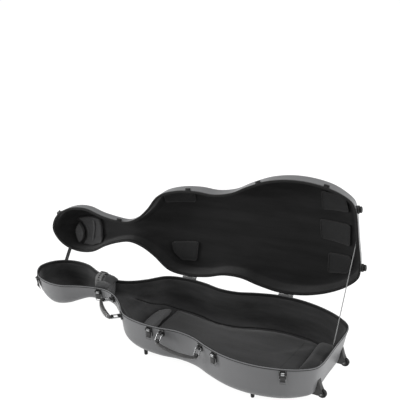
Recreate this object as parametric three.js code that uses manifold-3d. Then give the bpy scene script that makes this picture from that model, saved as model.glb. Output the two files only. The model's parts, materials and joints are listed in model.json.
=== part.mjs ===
// Cello hard case, lying open on its back. Millimetres, +Z up.
// While it is built, x = 0 is the bottom end and the scroll tip lies towards -x, the latches are on
// the -y side and the hinges on the +y side, and z = 0 is the plane where the two rims meet.
// The whole case is then set down with the middle of its footprint at the origin.
import * as THREE from 'three';
import { mergeVertices } from 'three/addons/utils/BufferGeometryUtils.js';
import Module from 'manifold-3d';

const wasm = await Module();
wasm.setup();

// Outline of the case, seen from above
const caseLength = 1350;
const endFlatWidth = 254;
const lowerBoutWidth = 490;
const waistInset = 69;
const shoulderInset = 52.5;
const waistWidth = lowerBoutWidth - 2 * waistInset;
const upperBoutWidth = lowerBoutWidth - 2 * shoulderInset;
const neckWidth = 92;
const scrollInset = 142;
const scrollWidth = lowerBoutWidth - 2 * scrollInset;

// Depths of the two moulded halves, and the roundings where their walls turn into their backs
const baseDepth = 157;
const baseCrown = 8;
const baseSideDraft = 8;
const baseEndDraft = 24;
const baseEndEdge = 24;
const baseBodyEdge = 45;
const baseNeckEdge = 25;
const baseScrollEdge = 54;
const baseTipEdge = 36;
const lidDepth = 97;
const lidCrown = 18;
const lidSideDraft = 4;
const lidEndDraft = 10;
const lidBodyEdge = 34;
const lidNeckEdge = 25;
const lidScrollEdge = 50;
const lidTipEdge = 40;
const shellWall = 3;
const backBreakShare = 0.35;
const spineStart = 170;
const spineEnd = 100;

// Clearances and cutting overruns
const seatGap = 0.3;
const softGap = 0.6;
const runningGap = 0.35;
const overrun = 30;
const mergeStep = 0.001;

// How finely curves are cut into facets
const facetTurn = THREE.MathUtils.degToRad(11);
const facetLength = 75;
const outlineSteps = 24;
const boreSides = 8;
const knuckleSides = 10;
const eyeSides = 12;
const footSides = 14;
const wheelSides = 18;
const wireSides = 5;
const strapSteps = 8;

// Hinges: a straight pin line touches both bouts, so it is skew to the case
const openAngle = THREE.MathUtils.degToRad(92.7);
const hingeStandoff = 4.6;
const knuckleRadius = 4;
const hingePinRadius = 1.5;
const hingeLength = 60;
const knuckleLength = 19.5;
const leafHeight = 18;
const leafThickness = 2;
const hingeShares = [['lower_bout', 0.232], ['upper_bout', 0.538]];
const lowerBoutEndShare = 0.37;
const upperBoutStartShare = 0.43;
const upperBoutEndShare = 0.65;
const hingeLinePasses = 8;

// Rim trims
const sealHeight = 7;
const sealWidth = 10;
const bandHeight = 11;
const bandWidth = 4;

// Linings and cushions
const liningThickness = 4;
const cushionInset = 6;
const cushionEdgeHeight = 3;
const cushionCrown = 11;
const cushionRound = 6;
const cushionFrontShare = 0.557;
const shoulderPadShare = 0.567;
const shoulderPadWidth = 236;
const shoulderPadLength = 84;
const shoulderPadTop = 112;
const shoulderPadRound = 8;
const cradleShare = 0.752;
const cradleLength = 58;
const cradleEarHeight = 15;
const cradleEarRound = 4;
const cradleFloor = 28;
const cradleThroat = 44;
const cradleInset = 12;
const endBlockFront = 110;
const endBlockWidth = 224;
const endBlockTop = 64;
const endBlockRound = 16;
const endBlockCorner = 30;

// Latches
const latchShares = [
  ['scroll', 0.967], ['neck', 0.754], ['shoulder', 0.505], ['waist', 0.283], ['bout', 0.08],
];
const latchWidth = 28;
const latchHeight = 44;
const latchDrop = 4;
const latchPlate = 2.2;
const latchCorner = 4;
const latchPivotDrop = 15;
const latchPivotOut = 7.4;
const latchPinRadius = 1.3;
const latchEar = 1.7;
const latchEarRadius = 5;
const leverWidth = 18;
const leverBarrel = 3.7;
const leverLength = 33;
const leverThickness = 3.4;
const leverBendShare = 0.66;
const leverTipOut = 4.6;
const bailDrop = 10;
const bailBarrel = 3;
const bailWire = 1.15;
const bailReach = 36;
const bailHalfWidth = 13.3;
const bailCorner = 3;
const keeperWidth = 22;
const keeperLow = 2;
const keeperHigh = 20;
const keeperPlate = 2;
const keeperCorner = 2;
const keeperLip = 7;
const keeperLipThickness = 2.2;
const keeperLipOut = 8.6;
const keeperLipReturn = 5;

// Handles
const handleDrop = 20;
const mainHandleShares = [0.335, 0.466];
const neckHandleShares = [0.618, 0.695];
const bracketWidth = 23;
const bracketHeight = 30;
const bracketCorner = 5;
const bracketPlate = 3;
const pivotOut = 9;
const eyeRadius = 5.6;
const linkBore = 3.4;
const linkWidth = 25;
const linkReach = 28;
const linkStock = 4;
const linkCorner = 3;
const gripEyeRadius = 6.6;
const eyeLength = 13;
const gripEndHalfWidth = 6.5;
const gripHalfWidth = 12.5;
const gripEndHalfThickness = 4;
const gripHalfThickness = 7.5;
const gripBow = 9;
const gripLift = 7.6;
const gripOverhang = 5;
const gripSections = 10;
const gripSides = 8;
const mainHandleHang = THREE.MathUtils.degToRad(38);
const neckHandleHang = THREE.MathUtils.degToRad(94);

// Feet and wheels
const backFootRadius = 13;
const backFootTaper = 3;
const backFootDrop = 10;
const backFootShares = [['bottom', 0.178], ['top', 0.545]];
const backFootInset = 46;
const sideFootShares = [0.158, 0.484, 0.915];
const sideFootLength = 26;
const sideFootHeight = 15;
const sideFootCorner = 5;
const sideFootOut = 9;
const sideFootDrop = 24;
const endFootSpread = 120;
const endFootHeight = 28;
const endFootRadius = 12.5;
const endFootCollar = 16;
const endFootCollarTip = 3;
const wheelSpread = 110;
const wheelDrop = 135;
const wheelSet = -4;
const wheelRadius = 18;
const wheelWidth = 14;
const wheelRound = 4;
const wheelBore = 4.2;
const axleRadius = 3.7;
const housingWidth = 26;
const housingDepth = 90;
const housingTop = 75;
const housingSlope = 16;
const housingShoulder = 4;
const housingNose = 9;
const wheelWellGap = 1.5;

// Straps
const neckStrapShare = 0.76;
const neckStrapSkew = THREE.MathUtils.degToRad(12);
const neckStrapWidth = 20;
const neckStrapThickness = 2.4;
const neckStrapArch = 5;
const neckStrapHalf = 36;
const buckleLength = 12;
const buckleWidth = 26;
const buckleThickness = 5.5;
const stayWidth = 9;
const stayThickness = 1.2;
const stayHeight = 20;
const scrollStayShare = 0.945;
const scrollStayWidth = 12;
const scrollStayInset = 12;
const scrollStayLift = 4;

// Lid pockets
const pocketThickness = 9;
const pouchThickness = 14;

const finishes = {
  shell: { color: 0x3b3c3e, roughness: 0.42, metalness: 0.05 },
  rubber: { color: 0x141414, roughness: 0.75, metalness: 0 },
  fleece: { color: 0x232325, roughness: 1, metalness: 0 },
  cushion: { color: 0x3a3a3c, roughness: 1, metalness: 0 },
  blackMetal: { color: 0x1a1a1b, roughness: 0.4, metalness: 0.4 },
  chrome: { color: 0xd0d2d4, roughness: 0.16, metalness: 1 },
  leather: { color: 0x2a2a2b, roughness: 0.55, metalness: 0 },
  webbing: { color: 0x55575a, roughness: 0.9, metalness: 0 },
  steel: { color: 0x77797b, roughness: 0.35, metalness: 0.9 },
};

// Half outline from the bottom end to the scroll tip, along the +y side:
// share of the length, the width that the point follows, and share of half that width
const outlineShares = [
  [0, endFlatWidth, 0],
  [0.0015, endFlatWidth, 0.99],
  [0.0105, lowerBoutWidth, 0.64],
  [0.044, lowerBoutWidth, 0.785],
  [0.104, lowerBoutWidth, 0.92],
  [0.178, lowerBoutWidth, 0.99],
  [0.252, lowerBoutWidth, 0.968],
  [0.318, lowerBoutWidth, 0.862],
  [0.37, waistWidth, 1.045],
  [0.425, waistWidth, 1],
  [0.482, upperBoutWidth, 0.978],
  [0.548, upperBoutWidth, 0.975],
  [0.607, upperBoutWidth, 0.86],
  [0.652, upperBoutWidth, 0.54],
  [0.689, neckWidth, 1.42],
  [0.7285, neckWidth, 1],
  [0.771, neckWidth, 1.14],
  [0.815, scrollWidth, 0.68],
  [0.867, scrollWidth, 0.97],
  [0.9185, scrollWidth, 0.985],
  [0.963, scrollWidth, 0.765],
  [0.989, scrollWidth, 0.42],
  [1, scrollWidth, 0],
];

// Depth of each half along the case: share of the length, share of the full depth
const baseDepthShares = [
  [0, 0.9], [0.11, 0.985], [0.22, 1], [0.42, 0.985], [0.555, 0.94], [0.63, 0.79], [0.705, 0.44],
  [0.778, 0.42], [0.852, 0.68], [0.911, 0.76], [0.963, 0.66], [1, 0.54],
];
const lidDepthShares = [
  [0, 0.89], [0.11, 0.97], [0.22, 1], [0.44, 1], [0.555, 1], [0.645, 0.89], [0.73, 0.68],
  [0.815, 0.76], [0.89, 0.87], [0.963, 0.79], [1, 0.67],
];
const baseEdges = [
  [0, baseEndEdge], [0.012, baseEndEdge], [0.08, baseBodyEdge], [0.59, baseBodyEdge],
  [0.7, baseNeckEdge], [0.76, baseNeckEdge], [0.88, baseScrollEdge], [0.95, baseScrollEdge],
  [1, baseTipEdge],
];
const lidEdges = [
  [0, lidBodyEdge], [0.59, lidBodyEdge], [0.7, lidNeckEdge], [0.76, lidNeckEdge],
  [0.88, lidScrollEdge], [0.95, lidScrollEdge], [1, lidTipEdge],
];
const baseDrafts = [[0, baseEndDraft], [0.011, baseEndDraft], [0.08, baseSideDraft], [1, baseSideDraft]];
const lidDrafts = [[0, lidEndDraft], [0.011, lidEndDraft], [0.08, lidSideDraft], [1, lidSideDraft]];

// Plans of the lid's pockets: the width that they follow, then corners as shares of the length and
// of half that width
const pocketShares = [
  { width: upperBoutWidth, shares: [[0.514, -0.57], [0.514, -0.8], [0.611, -0.78], [0.611, -0.57]] },
  {
    width: upperBoutWidth,
    shares: [[0.525, 0.38], [0.611, 0.38], [0.606, 0.6], [0.585, 0.78], [0.537, 0.8]],
  },
  { width: lowerBoutWidth, shares: [[0.037, -0.36], [0.046, -0.62], [0.114, -0.7], [0.119, -0.38]] },
  { width: lowerBoutWidth, shares: [[0.041, 0.41], [0.111, 0.38], [0.116, 0.71], [0.053, 0.69]] },
  { width: lowerBoutWidth, shares: [[0.036, -0.14], [0.13, -0.19], [0.13, 0.13], [0.043, 0.22]] },
];
const pouchShares = {
  width: scrollWidth,
  shares: [
    [0.842, -0.4], [0.918, -0.48], [0.889, -0.3], [0.876, 0.05], [0.884, 0.45], [0.908, 0.7], [0.845, 0.62],
  ],
};

// Value of a table at a share of the length, straight from row to row
function along(table, share) {
  const next = table.findIndex(([at]) => at >= share);
  if (next <= 0) return next < 0 ? table[table.length - 1][1] : table[0][1];
  const [fromAt, from] = table[next - 1];
  const [toAt, to] = table[next];
  return THREE.MathUtils.lerp(from, to, (share - fromAt) / (toAt - fromAt));
}

// Closed outline curve, and its +y half as closely spaced points with outward normals
function halfOutline() {
  const half = outlineShares.map(([at, width, share]) => {
    return new THREE.Vector3(-at * caseLength, (width / 2) * share, 0);
  });
  const mirrored = half.slice(1, -1).reverse().map((p) => new THREE.Vector3(p.x, -p.y, 0));
  const curve = new THREE.CatmullRomCurve3([...half, ...mirrored], true, 'centripetal');
  const count = (half.length - 1) * outlineSteps;
  const points = [];
  for (let k = 0; k <= count; k += 1) {
    const t = k / (2 * count);
    const point = curve.getPoint(t);
    const tangent = curve.getTangent(t);
    const onAxis = k === 0 || k === count;
    points.push({
      x: point.x,
      y: onAxis ? 0 : point.y,
      nx: onAxis ? Math.sign(tangent.y) : tangent.y,
      ny: onAxis ? 0 : -tangent.x,
    });
  }
  return points;
}
const denseHalf = halfOutline();

// The outline's facet corners: a new one where it has turned or run far enough
function facetCorners() {
  const kept = [denseHalf[0]];
  let turned = 0;
  for (let k = 1; k < denseHalf.length - 1; k += 1) {
    const here = denseHalf[k];
    const before = denseHalf[k - 1];
    const last = kept[kept.length - 1];
    turned += Math.abs(Math.atan2(before.nx * here.ny - before.ny * here.nx,
      before.nx * here.nx + before.ny * here.ny));
    if (turned > facetTurn || Math.hypot(here.x - last.x, here.y - last.y) > facetLength) {
      kept.push(here);
      turned = 0;
    }
  }
  const tip = denseHalf[denseHalf.length - 1];
  const mirrored = kept.slice(1).reverse().map((p) => ({ x: p.x, y: -p.y, nx: p.nx, ny: -p.ny }));
  return [...kept, tip, ...mirrored];
}
const corners = facetCorners();

function halfWidthAt(x) {
  return denseHalf.find((p) => p.x <= x).y;
}

// The two moulded halves: the side on which their back lies, how their walls run, and how far
// from the plane of the rims the shell and its lining begin
const base = {
  up: -1,
  depth: baseDepth,
  depths: baseDepthShares,
  edges: baseEdges,
  drafts: baseDrafts,
  crown: baseCrown,
  rim: 0,
  liningRim: bandHeight + seatGap,
};
const lid = {
  up: 1,
  depth: lidDepth,
  depths: lidDepthShares,
  edges: lidEdges,
  drafts: lidDrafts,
  crown: lidCrown,
  rim: sealHeight + 2 * seatGap,
  liningRim: sealHeight + 3 * seatGap,
};
const depthAt = (half, x) => half.depth * along(half.depths, -x / caseLength);
const edgeAt = (half, x) => along(half.edges, -x / caseLength);
const draftAt = (half, x) => along(half.drafts, -x / caseLength);
const leanAt = (half, x) => draftAt(half, x) / (depthAt(half, x) - edgeAt(half, x));

function spineAt(half, x, skin) {
  const clear = THREE.MathUtils.clamp(x, spineEnd - caseLength, -spineStart);
  const rise = (half.crown * halfWidthAt(clear)) / (lowerBoutWidth / 2);
  return new THREE.Vector3(clear, 0, half.up * (depthAt(half, clear) + rise - skin));
}

// Rings round the wall, its rounded edge and the crowned back. skin is how far a ring lies
// inside the outer surface; a negative skin lies outside it.
function wallRing(half, skin, height) {
  return corners.map((p) => {
    const inset = skin + leanAt(half, p.x) * Math.max(height, 0);
    return new THREE.Vector3(p.x - p.nx * inset, p.y - p.ny * inset, half.up * height);
  });
}
function edgeRing(half, skin, angle) {
  return corners.map((p) => {
    const radius = edgeAt(half, p.x);
    const inset = draftAt(half, p.x) + radius - (radius - skin) * Math.cos(angle);
    const height = depthAt(half, p.x) - radius + (radius - skin) * Math.sin(angle);
    return new THREE.Vector3(p.x - p.nx * inset, p.y - p.ny * inset, half.up * height);
  });
}
function backRing(half, skin, share) {
  return edgeRing(half, skin, Math.PI / 2).map((p) => {
    const spine = spineAt(half, p.x, skin);
    const z = THREE.MathUtils.lerp(p.z, spine.z, share * (2 - share));
    return p.lerp(spine, share).setZ(z);
  });
}
function flatRing(half, height) {
  return wallRing(half, 0, height).map((p) => spineAt(half, p.x, 0).setZ(half.up * height));
}

// Ring lists from the rim to the spine, fine for what shows outside and plain for what lies inside
function fineRings(half, skin) {
  return [
    edgeRing(half, skin, 0),
    edgeRing(half, skin, Math.PI / 6),
    edgeRing(half, skin, Math.PI / 3),
    edgeRing(half, skin, Math.PI / 2),
    backRing(half, skin, backBreakShare),
    backRing(half, skin, 1),
  ];
}
function plainRings(half, skin) {
  return [
    edgeRing(half, skin, 0),
    edgeRing(half, skin, Math.PI / 4),
    edgeRing(half, skin, Math.PI / 2),
    backRing(half, skin, 1),
  ];
}

// Closed surface through rings of points, each ring joined to the next. The first returning spans
// are split along their other diagonal, so that two surfaces a gap apart have parallel facets.
function stitch(rings, returning = 0, closedEnds = false) {
  const positions = [];
  const triangle = (a, b, c) => positions.push(...a.toArray(), ...b.toArray(), ...c.toArray());
  for (let r = 0; r < rings.length - 1; r += 1) {
    const from = rings[r];
    const to = rings[r + 1];
    for (let k = 0; k < from.length; k += 1) {
      const n = (k + 1) % from.length;
      if (r < returning) {
        triangle(from[k], from[n], to[k]);
        triangle(from[n], to[n], to[k]);
      } else {
        triangle(from[k], from[n], to[n]);
        triangle(from[k], to[n], to[k]);
      }
    }
  }
  if (closedEnds) {
    [rings[0].slice().reverse(), rings[rings.length - 1]].forEach((ring) => {
      const middle = new THREE.Vector3();
      ring.forEach((p) => middle.addScaledVector(p, 1 / ring.length));
      ring.forEach((p, k) => triangle(p, ring[(k + 1) % ring.length], middle));
    });
  }
  const geometry = new THREE.BufferGeometry();
  geometry.setAttribute('position', new THREE.Float32BufferAttribute(positions, 3));
  return tidyBody(geometry);
}

// Shared vertices, no flat triangles, faces pointing out
function tidyBody(geometry) {
  const bare = geometry.clone();
  bare.deleteAttribute('normal');
  bare.deleteAttribute('uv');
  const merged = mergeVertices(bare, mergeStep);
  const position = merged.getAttribute('position');
  const at = (k) => new THREE.Vector3().fromBufferAttribute(position, k);
  const old = merged.getIndex().array;
  let index = [];
  let volume = 0;
  for (let k = 0; k < old.length; k += 3) {
    const [a, b, c] = [old[k], old[k + 1], old[k + 2]];
    if (a !== b && b !== c && c !== a) {
      index.push(a, b, c);
      volume += at(a).dot(at(b).cross(at(c)));
    }
  }
  if (volume < 0) index = index.reverse();
  merged.setIndex(index);
  return merged;
}

// Joining and cutting
function toSolid(geometry) {
  const body = tidyBody(geometry);
  return new wasm.Manifold(new wasm.Mesh({
    numProp: 3,
    vertProperties: new Float32Array(body.getAttribute('position').array),
    triVerts: new Uint32Array(body.getIndex().array),
  }));
}
function toGeometry(solid) {
  const mesh = solid.getMesh();
  const geometry = new THREE.BufferGeometry();
  geometry.setAttribute('position', new THREE.BufferAttribute(new Float32Array(mesh.vertProperties), 3));
  geometry.setIndex(Array.from(mesh.triVerts));
  return geometry;
}
function join(...geometries) {
  return toGeometry(geometries.map(toSolid).reduce((a, b) => a.add(b)));
}
function cut(geometry, ...tools) {
  return toGeometry(tools.map(toSolid).reduce((a, b) => a.subtract(b), toSolid(geometry)));
}

// Plain shapes: boxes by their limits, rods along x, profiles drawn in (y, z) and extruded along x
function block([x0, x1], [y0, y1], [z0, z1]) {
  const geometry = new THREE.BoxGeometry(x1 - x0, y1 - y0, z1 - z0);
  return geometry.translate((x0 + x1) / 2, (y0 + y1) / 2, (z0 + z1) / 2);
}
function rod(radius, x0, x1, y, z, sides = boreSides) {
  const geometry = new THREE.CylinderGeometry(radius, radius, x1 - x0, sides);
  return geometry.rotateZ(Math.PI / 2).translate((x0 + x1) / 2, y, z);
}
function extrudeUp(shape, z0, z1) {
  return new THREE.ExtrudeGeometry(shape, { depth: z1 - z0, bevelEnabled: false }).translate(0, 0, z0);
}
function extrudeAlongX(shape, x0, x1, curveSegments = 2) {
  const geometry = new THREE.ExtrudeGeometry(shape, { depth: x1 - x0, bevelEnabled: false, curveSegments });
  const turn = new THREE.Matrix4().makeBasis(
    new THREE.Vector3(0, 1, 0), new THREE.Vector3(0, 0, 1), new THREE.Vector3(1, 0, 0),
  );
  return geometry.applyMatrix4(turn).translate(x0, 0, 0);
}
function extrudeAlongY(shape, y0, y1) {
  const settings = { depth: y1 - y0, bevelEnabled: false, curveSegments: 2 };
  const geometry = new THREE.ExtrudeGeometry(shape, settings);
  const turn = new THREE.Matrix4().makeBasis(
    new THREE.Vector3(1, 0, 0), new THREE.Vector3(0, 0, 1), new THREE.Vector3(0, -1, 0),
  );
  return geometry.applyMatrix4(turn).translate(0, y1, 0);
}
function roundedRect(width, height, radius, cx = 0, cy = 0) {
  const shape = new THREE.Shape();
  const [x0, x1, y0, y1] = [cx - width / 2, cx + width / 2, cy - height / 2, cy + height / 2];
  shape.moveTo(x0 + radius, y0);
  shape.lineTo(x1 - radius, y0).quadraticCurveTo(x1, y0, x1, y0 + radius);
  shape.lineTo(x1, y1 - radius).quadraticCurveTo(x1, y1, x1 - radius, y1);
  shape.lineTo(x0 + radius, y1).quadraticCurveTo(x0, y1, x0, y1 - radius);
  shape.lineTo(x0, y0 + radius).quadraticCurveTo(x0, y0, x0 + radius, y0);
  return shape;
}

// A route through given points, used as it stands, for wires and straps
class Route extends THREE.Curve {
  constructor(points) {
    super();
    this.points = points;
  }

  getPoint(t, target = new THREE.Vector3()) {
    const place = THREE.MathUtils.clamp(t, 0, 1) * (this.points.length - 1);
    const k = Math.min(Math.floor(place), this.points.length - 2);
    return target.lerpVectors(this.points[k], this.points[k + 1], place - k);
  }

  getPointAt(t, target) {
    return this.getPoint(t, target);
  }

  getTangentAt(t, target) {
    return this.getTangent(t, target);
  }
}
function sweep(shape, points) {
  return new THREE.ExtrudeGeometry(shape, {
    steps: points.length - 1, extrudePath: new Route(points), curveSegments: 2, bevelEnabled: false,
  });
}
function roundPoints(points, radius) {
  const out = [points[0]];
  for (let k = 1; k < points.length - 1; k += 1) {
    const back = points[k - 1].clone().sub(points[k]).setLength(radius).add(points[k]);
    const ahead = points[k + 1].clone().sub(points[k]).setLength(radius).add(points[k]);
    const curve = new THREE.QuadraticBezierCurve3(back, points[k], ahead);
    out.push(...curve.getPoints(2));
  }
  out.push(points[points.length - 1]);
  return out;
}
function circle(radius, sides) {
  const shape = new THREE.Shape();
  for (let k = 0; k < sides; k += 1) {
    const angle = (2 * Math.PI * k) / sides;
    const put = k === 0 ? 'moveTo' : 'lineTo';
    shape[put](radius * Math.cos(angle), radius * Math.sin(angle));
  }
  return shape;
}

// Frames on the outer wall: x along the rim, y out of the wall, z up the wall
function wallPoint(reaches, side) {
  const p = denseHalf.find(reaches);
  return { x: p.x, y: p.y * side, nx: p.nx, ny: p.ny * side };
}
function frameOn(half, p, height) {
  const lean = leanAt(half, p.x);
  const out = new THREE.Vector3(p.nx, p.ny, 0);
  const up = new THREE.Vector3(0, 0, 1).addScaledVector(out, -half.up * lean).normalize();
  const run = out.clone().cross(up).normalize();
  const face = up.clone().cross(run);
  const origin = new THREE.Vector3(p.x, p.y, half.up * height).addScaledVector(out, -lean * height);
  return new THREE.Matrix4().makeBasis(run, face, up).setPosition(origin);
}
const sideFrame = (half, share, side, height) => {
  return frameOn(half, wallPoint((p) => p.x <= -share * caseLength, side), height);
};

// Solid blanks of the two halves, used to fit hardware to the moulded walls
function blank(half, skin, start, rings) {
  return stitch([
    flatRing(half, -overrun),
    wallRing(half, skin, -overrun),
    wallRing(half, skin, 0),
    wallRing(half, skin, start),
    ...rings(half, skin),
  ]);
}
const baseBlank = toSolid(blank(base, -seatGap, base.rim, fineRings));
const lidBlank = toSolid(blank(lid, -seatGap, lid.rim, fineRings));
function seated(geometry, frame, wallBlank) {
  const placed = toSolid(geometry.clone().applyMatrix4(frame));
  return toGeometry(placed.subtract(wallBlank));
}

// Scene graph
const assembly = new THREE.Group();
const hingeLine = findHingeLine();
const lidGroup = new THREE.Group();
lidGroup.applyMatrix4(aboutHinge(openAngle));
assembly.add(lidGroup);

function addPiece(name, geometry, finish, parent = assembly) {
  const mesh = new THREE.Mesh(geometry, new THREE.MeshStandardMaterial(finish));
  mesh.name = name;
  parent.add(mesh);
  return mesh;
}
function addFrame(name, matrix, parent = assembly) {
  const group = new THREE.Group();
  group.name = name;
  group.applyMatrix4(matrix);
  parent.add(group);
  return group;
}

// The pin line touches the lower and the upper bout of the +y side, then stands off from them
function findHingeLine() {
  const stretch = (from, to) => {
    return denseHalf.filter((p) => p.x <= -caseLength * from && p.x > -caseLength * to);
  };
  const lower = stretch(0, lowerBoutEndShare);
  const upper = stretch(upperBoutStartShare, upperBoutEndShare);
  let slope = 0;
  let a;
  let b;
  for (let pass = 0; pass < hingeLinePasses; pass += 1) {
    const height = (p) => p.y - slope * p.x;
    a = lower.reduce((best, p) => (height(p) > height(best) ? p : best));
    b = upper.reduce((best, p) => (height(p) > height(best) ? p : best));
    slope = (a.y - b.y) / (a.x - b.x);
  }
  const direction = new THREE.Vector3(b.x - a.x, b.y - a.y, 0).normalize();
  const out = new THREE.Vector3(direction.y, -direction.x, 0);
  const point = new THREE.Vector3(a.x, a.y, 0).addScaledVector(out, hingeStandoff);
  return { point, direction, out };
}
function aboutHinge(angle) {
  const { point, direction } = hingeLine;
  return new THREE.Matrix4().makeTranslation(point.x, point.y, point.z)
    .multiply(new THREE.Matrix4().makeRotationAxis(direction, angle))
    .multiply(new THREE.Matrix4().makeTranslation(-point.x, -point.y, -point.z));
}

// Moulded shells, the lid's with three side feet in its hinge side
function shell(half) {
  const outside = fineRings(half, 0).reverse();
  return stitch([
    ...outside,
    wallRing(half, 0, half.rim),
    wallRing(half, shellWall, half.rim),
    wallRing(half, shellWall, half.liningRim),
    ...plainRings(half, shellWall),
  ], outside.length);
}
function sideFeet(half) {
  const wallMiddle = toSolid(blank(half, shellWall / 2, half.rim, fineRings));
  const shape = roundedRect(sideFootLength, sideFootHeight, sideFootCorner);
  return sideFootShares.map((share) => {
    const body = extrudeAlongY(shape, -overrun / 2, sideFootOut);
    return seated(body, sideFrame(half, share, 1, sideFootDrop), wallMiddle);
  });
}
function addShells() {
  addPiece('base_shell', shell(base), finishes.shell);
  addPiece('lid_shell', join(shell(lid), ...sideFeet(lid)), finishes.shell, lidGroup);
}

// Rim trims: a rubber seal over the lid's edge, a raised band just inside the base's edge
function rimTrim(half, inset, width, low, high) {
  return stitch([
    wallRing(half, inset, high),
    wallRing(half, inset, low),
    wallRing(half, inset + width, low),
    wallRing(half, inset + width, high),
    wallRing(half, inset, high),
  ], 1);
}
function addRimTrims() {
  const seal = rimTrim(lid, 0, sealWidth, seatGap, sealHeight);
  addPiece('lid_rim_seal', seal, finishes.rubber, lidGroup);
  const band = rimTrim(base, shellWall + seatGap, bandWidth, seatGap, bandHeight);
  addPiece('base_rim_band', band, finishes.rubber);
}

// Fleece linings follow the shells at a small gap; flat pockets are sewn to the lid's
const liningSkin = shellWall + softGap;
const innerSkin = liningSkin + liningThickness;
const hollowSkin = innerSkin + softGap;
function lining(half) {
  const outside = plainRings(half, liningSkin).reverse();
  return stitch([
    ...outside,
    wallRing(half, liningSkin, half.liningRim),
    wallRing(half, innerSkin, half.liningRim),
    ...plainRings(half, innerSkin),
  ], outside.length);
}
function lidPad({ width, shares }, skin, thickness) {
  const plan = new THREE.Shape(shares.map(([at, across]) => {
    return new THREE.Vector2(-at * caseLength, (across * width) / 2);
  }));
  const prism = extrudeUp(plan, lidDepth / 2, lidDepth + lidCrown);
  const outside = toSolid(blank(lid, skin, lid.liningRim, plainRings));
  const inside = toSolid(blank(lid, hollowSkin + thickness, lid.liningRim, plainRings));
  return toGeometry(toSolid(prism).intersect(outside).subtract(inside));
}
function addLinings() {
  addPiece('base_lining', lining(base), finishes.fleece);
  const sunk = innerSkin - liningThickness / 2;
  const pockets = pocketShares.map((pocket) => lidPad(pocket, sunk, pocketThickness));
  addPiece('lid_lining', join(lining(lid), ...pockets), finishes.fleece, lidGroup);
  addPiece('scroll_pouch', lidPad(pouchShares, hollowSkin, pouchThickness), finishes.fleece, lidGroup);
}

const baseHollow = toSolid(blank(base, hollowSkin, base.liningRim, plainRings));
const inHollow = (geometry, hollow = baseHollow) => toGeometry(toSolid(geometry).intersect(hollow));

// A pad drawn in plan, its upper edge rounded, trimmed to the hollow of the base
function trimmedPad(plan, top, round) {
  const low = -baseDepth - baseCrown;
  const body = new THREE.ExtrudeGeometry(plan, {
    depth: -top - round - low, bevelEnabled: true, bevelThickness: round, bevelSize: round,
    bevelOffset: -round, bevelSegments: 2, curveSegments: 8,
  });
  return inHollow(body.translate(0, 0, low));
}

// Back cushion: covers the floor between the end block and the shoulder pad, crowned, edges rounded
const cushionBack = -endBlockFront - cushionInset;
const cushionFront = -cushionFrontShare * caseLength;
const cushionCorners = corners.filter((p) => p.x > cushionFront);
const cushionFloor = (x) => hollowSkin - depthAt(base, x);
function cushionRing(inset, rise) {
  return cushionCorners.map((p) => {
    const reach = hollowSkin + cushionInset + inset + draftAt(base, p.x) + edgeAt(base, p.x) / 3;
    const x = THREE.MathUtils.clamp(p.x - p.nx * reach, cushionFront + inset, cushionBack - inset);
    return new THREE.Vector3(x, p.y - p.ny * reach, cushionFloor(p.x) + rise);
  });
}
function cushionSpine(rise) {
  return cushionRing(0, rise).map((p) => {
    const x = THREE.MathUtils.clamp(p.x, cushionFront + spineStart, cushionBack - spineStart);
    return new THREE.Vector3(x, 0, cushionFloor(x) + rise);
  });
}
function addBackCushion() {
  const top = cushionEdgeHeight + cushionRound;
  const body = stitch([
    cushionSpine(-overrun),
    cushionRing(0, -overrun),
    cushionRing(0, cushionEdgeHeight),
    cushionRing(cushionRound / 3, cushionEdgeHeight + (2 * cushionRound) / 3),
    cushionRing(2 * cushionRound, top),
    cushionSpine(top + cushionCrown),
  ]);
  addPiece('back_cushion', inHollow(body), finishes.cushion);
}

// D-shaped pad under the cello's shoulders, its straight edge facing the cushion
function addShoulderPad() {
  const half = shoulderPadWidth / 2;
  const front = -shoulderPadShare * caseLength;
  const back = front - shoulderPadLength;
  const plan = new THREE.Shape();
  plan.moveTo(front, half).bezierCurveTo(back, half, back, -half, front, -half).lineTo(front, half);
  addPiece('shoulder_pad', trimmedPad(plan, shoulderPadTop, shoulderPadRound), finishes.cushion);
}

// Neck cradle: a block with a round throat, its two ears standing up inside the lid's seal
function addNeckCradle() {
  const throat = cradleThroat / 2;
  const bottom = throat - cradleFloor;
  const lip = cradleEarHeight - cradleEarRound;
  const shape = new THREE.Shape();
  shape.moveTo(-neckWidth, -baseDepth).lineTo(neckWidth, -baseDepth).lineTo(neckWidth, cradleEarHeight);
  shape.lineTo(throat + cradleEarRound, cradleEarHeight);
  shape.quadraticCurveTo(throat, cradleEarHeight, throat, lip);
  shape.lineTo(throat, bottom).absarc(0, bottom, throat, 0, -Math.PI, true).lineTo(-throat, lip);
  shape.quadraticCurveTo(-throat, cradleEarHeight, -throat - cradleEarRound, cradleEarHeight);
  shape.lineTo(-neckWidth, cradleEarHeight);
  const middle = -cradleShare * caseLength;
  const body = extrudeAlongX(shape, middle - cradleLength / 2, middle + cradleLength / 2, 5);
  const fit = stitch([
    flatRing(base, -overrun),
    wallRing(base, cradleInset, -overrun),
    wallRing(base, cradleInset, base.liningRim),
    wallRing(base, hollowSkin, base.liningRim),
    ...plainRings(base, hollowSkin),
  ]);
  addPiece('neck_cradle', inHollow(body, toSolid(fit)), finishes.fleece);
}

// End block: a rounded bolster across the bottom end, which the cello's lower edge rests on
function addEndBlock() {
  const middle = (overrun - endBlockFront) / 2;
  const plan = roundedRect(endBlockFront + overrun, endBlockWidth, endBlockCorner, middle);
  addPiece('end_block', trimmedPad(plan, endBlockTop, endBlockRound), finishes.fleece);
}

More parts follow.
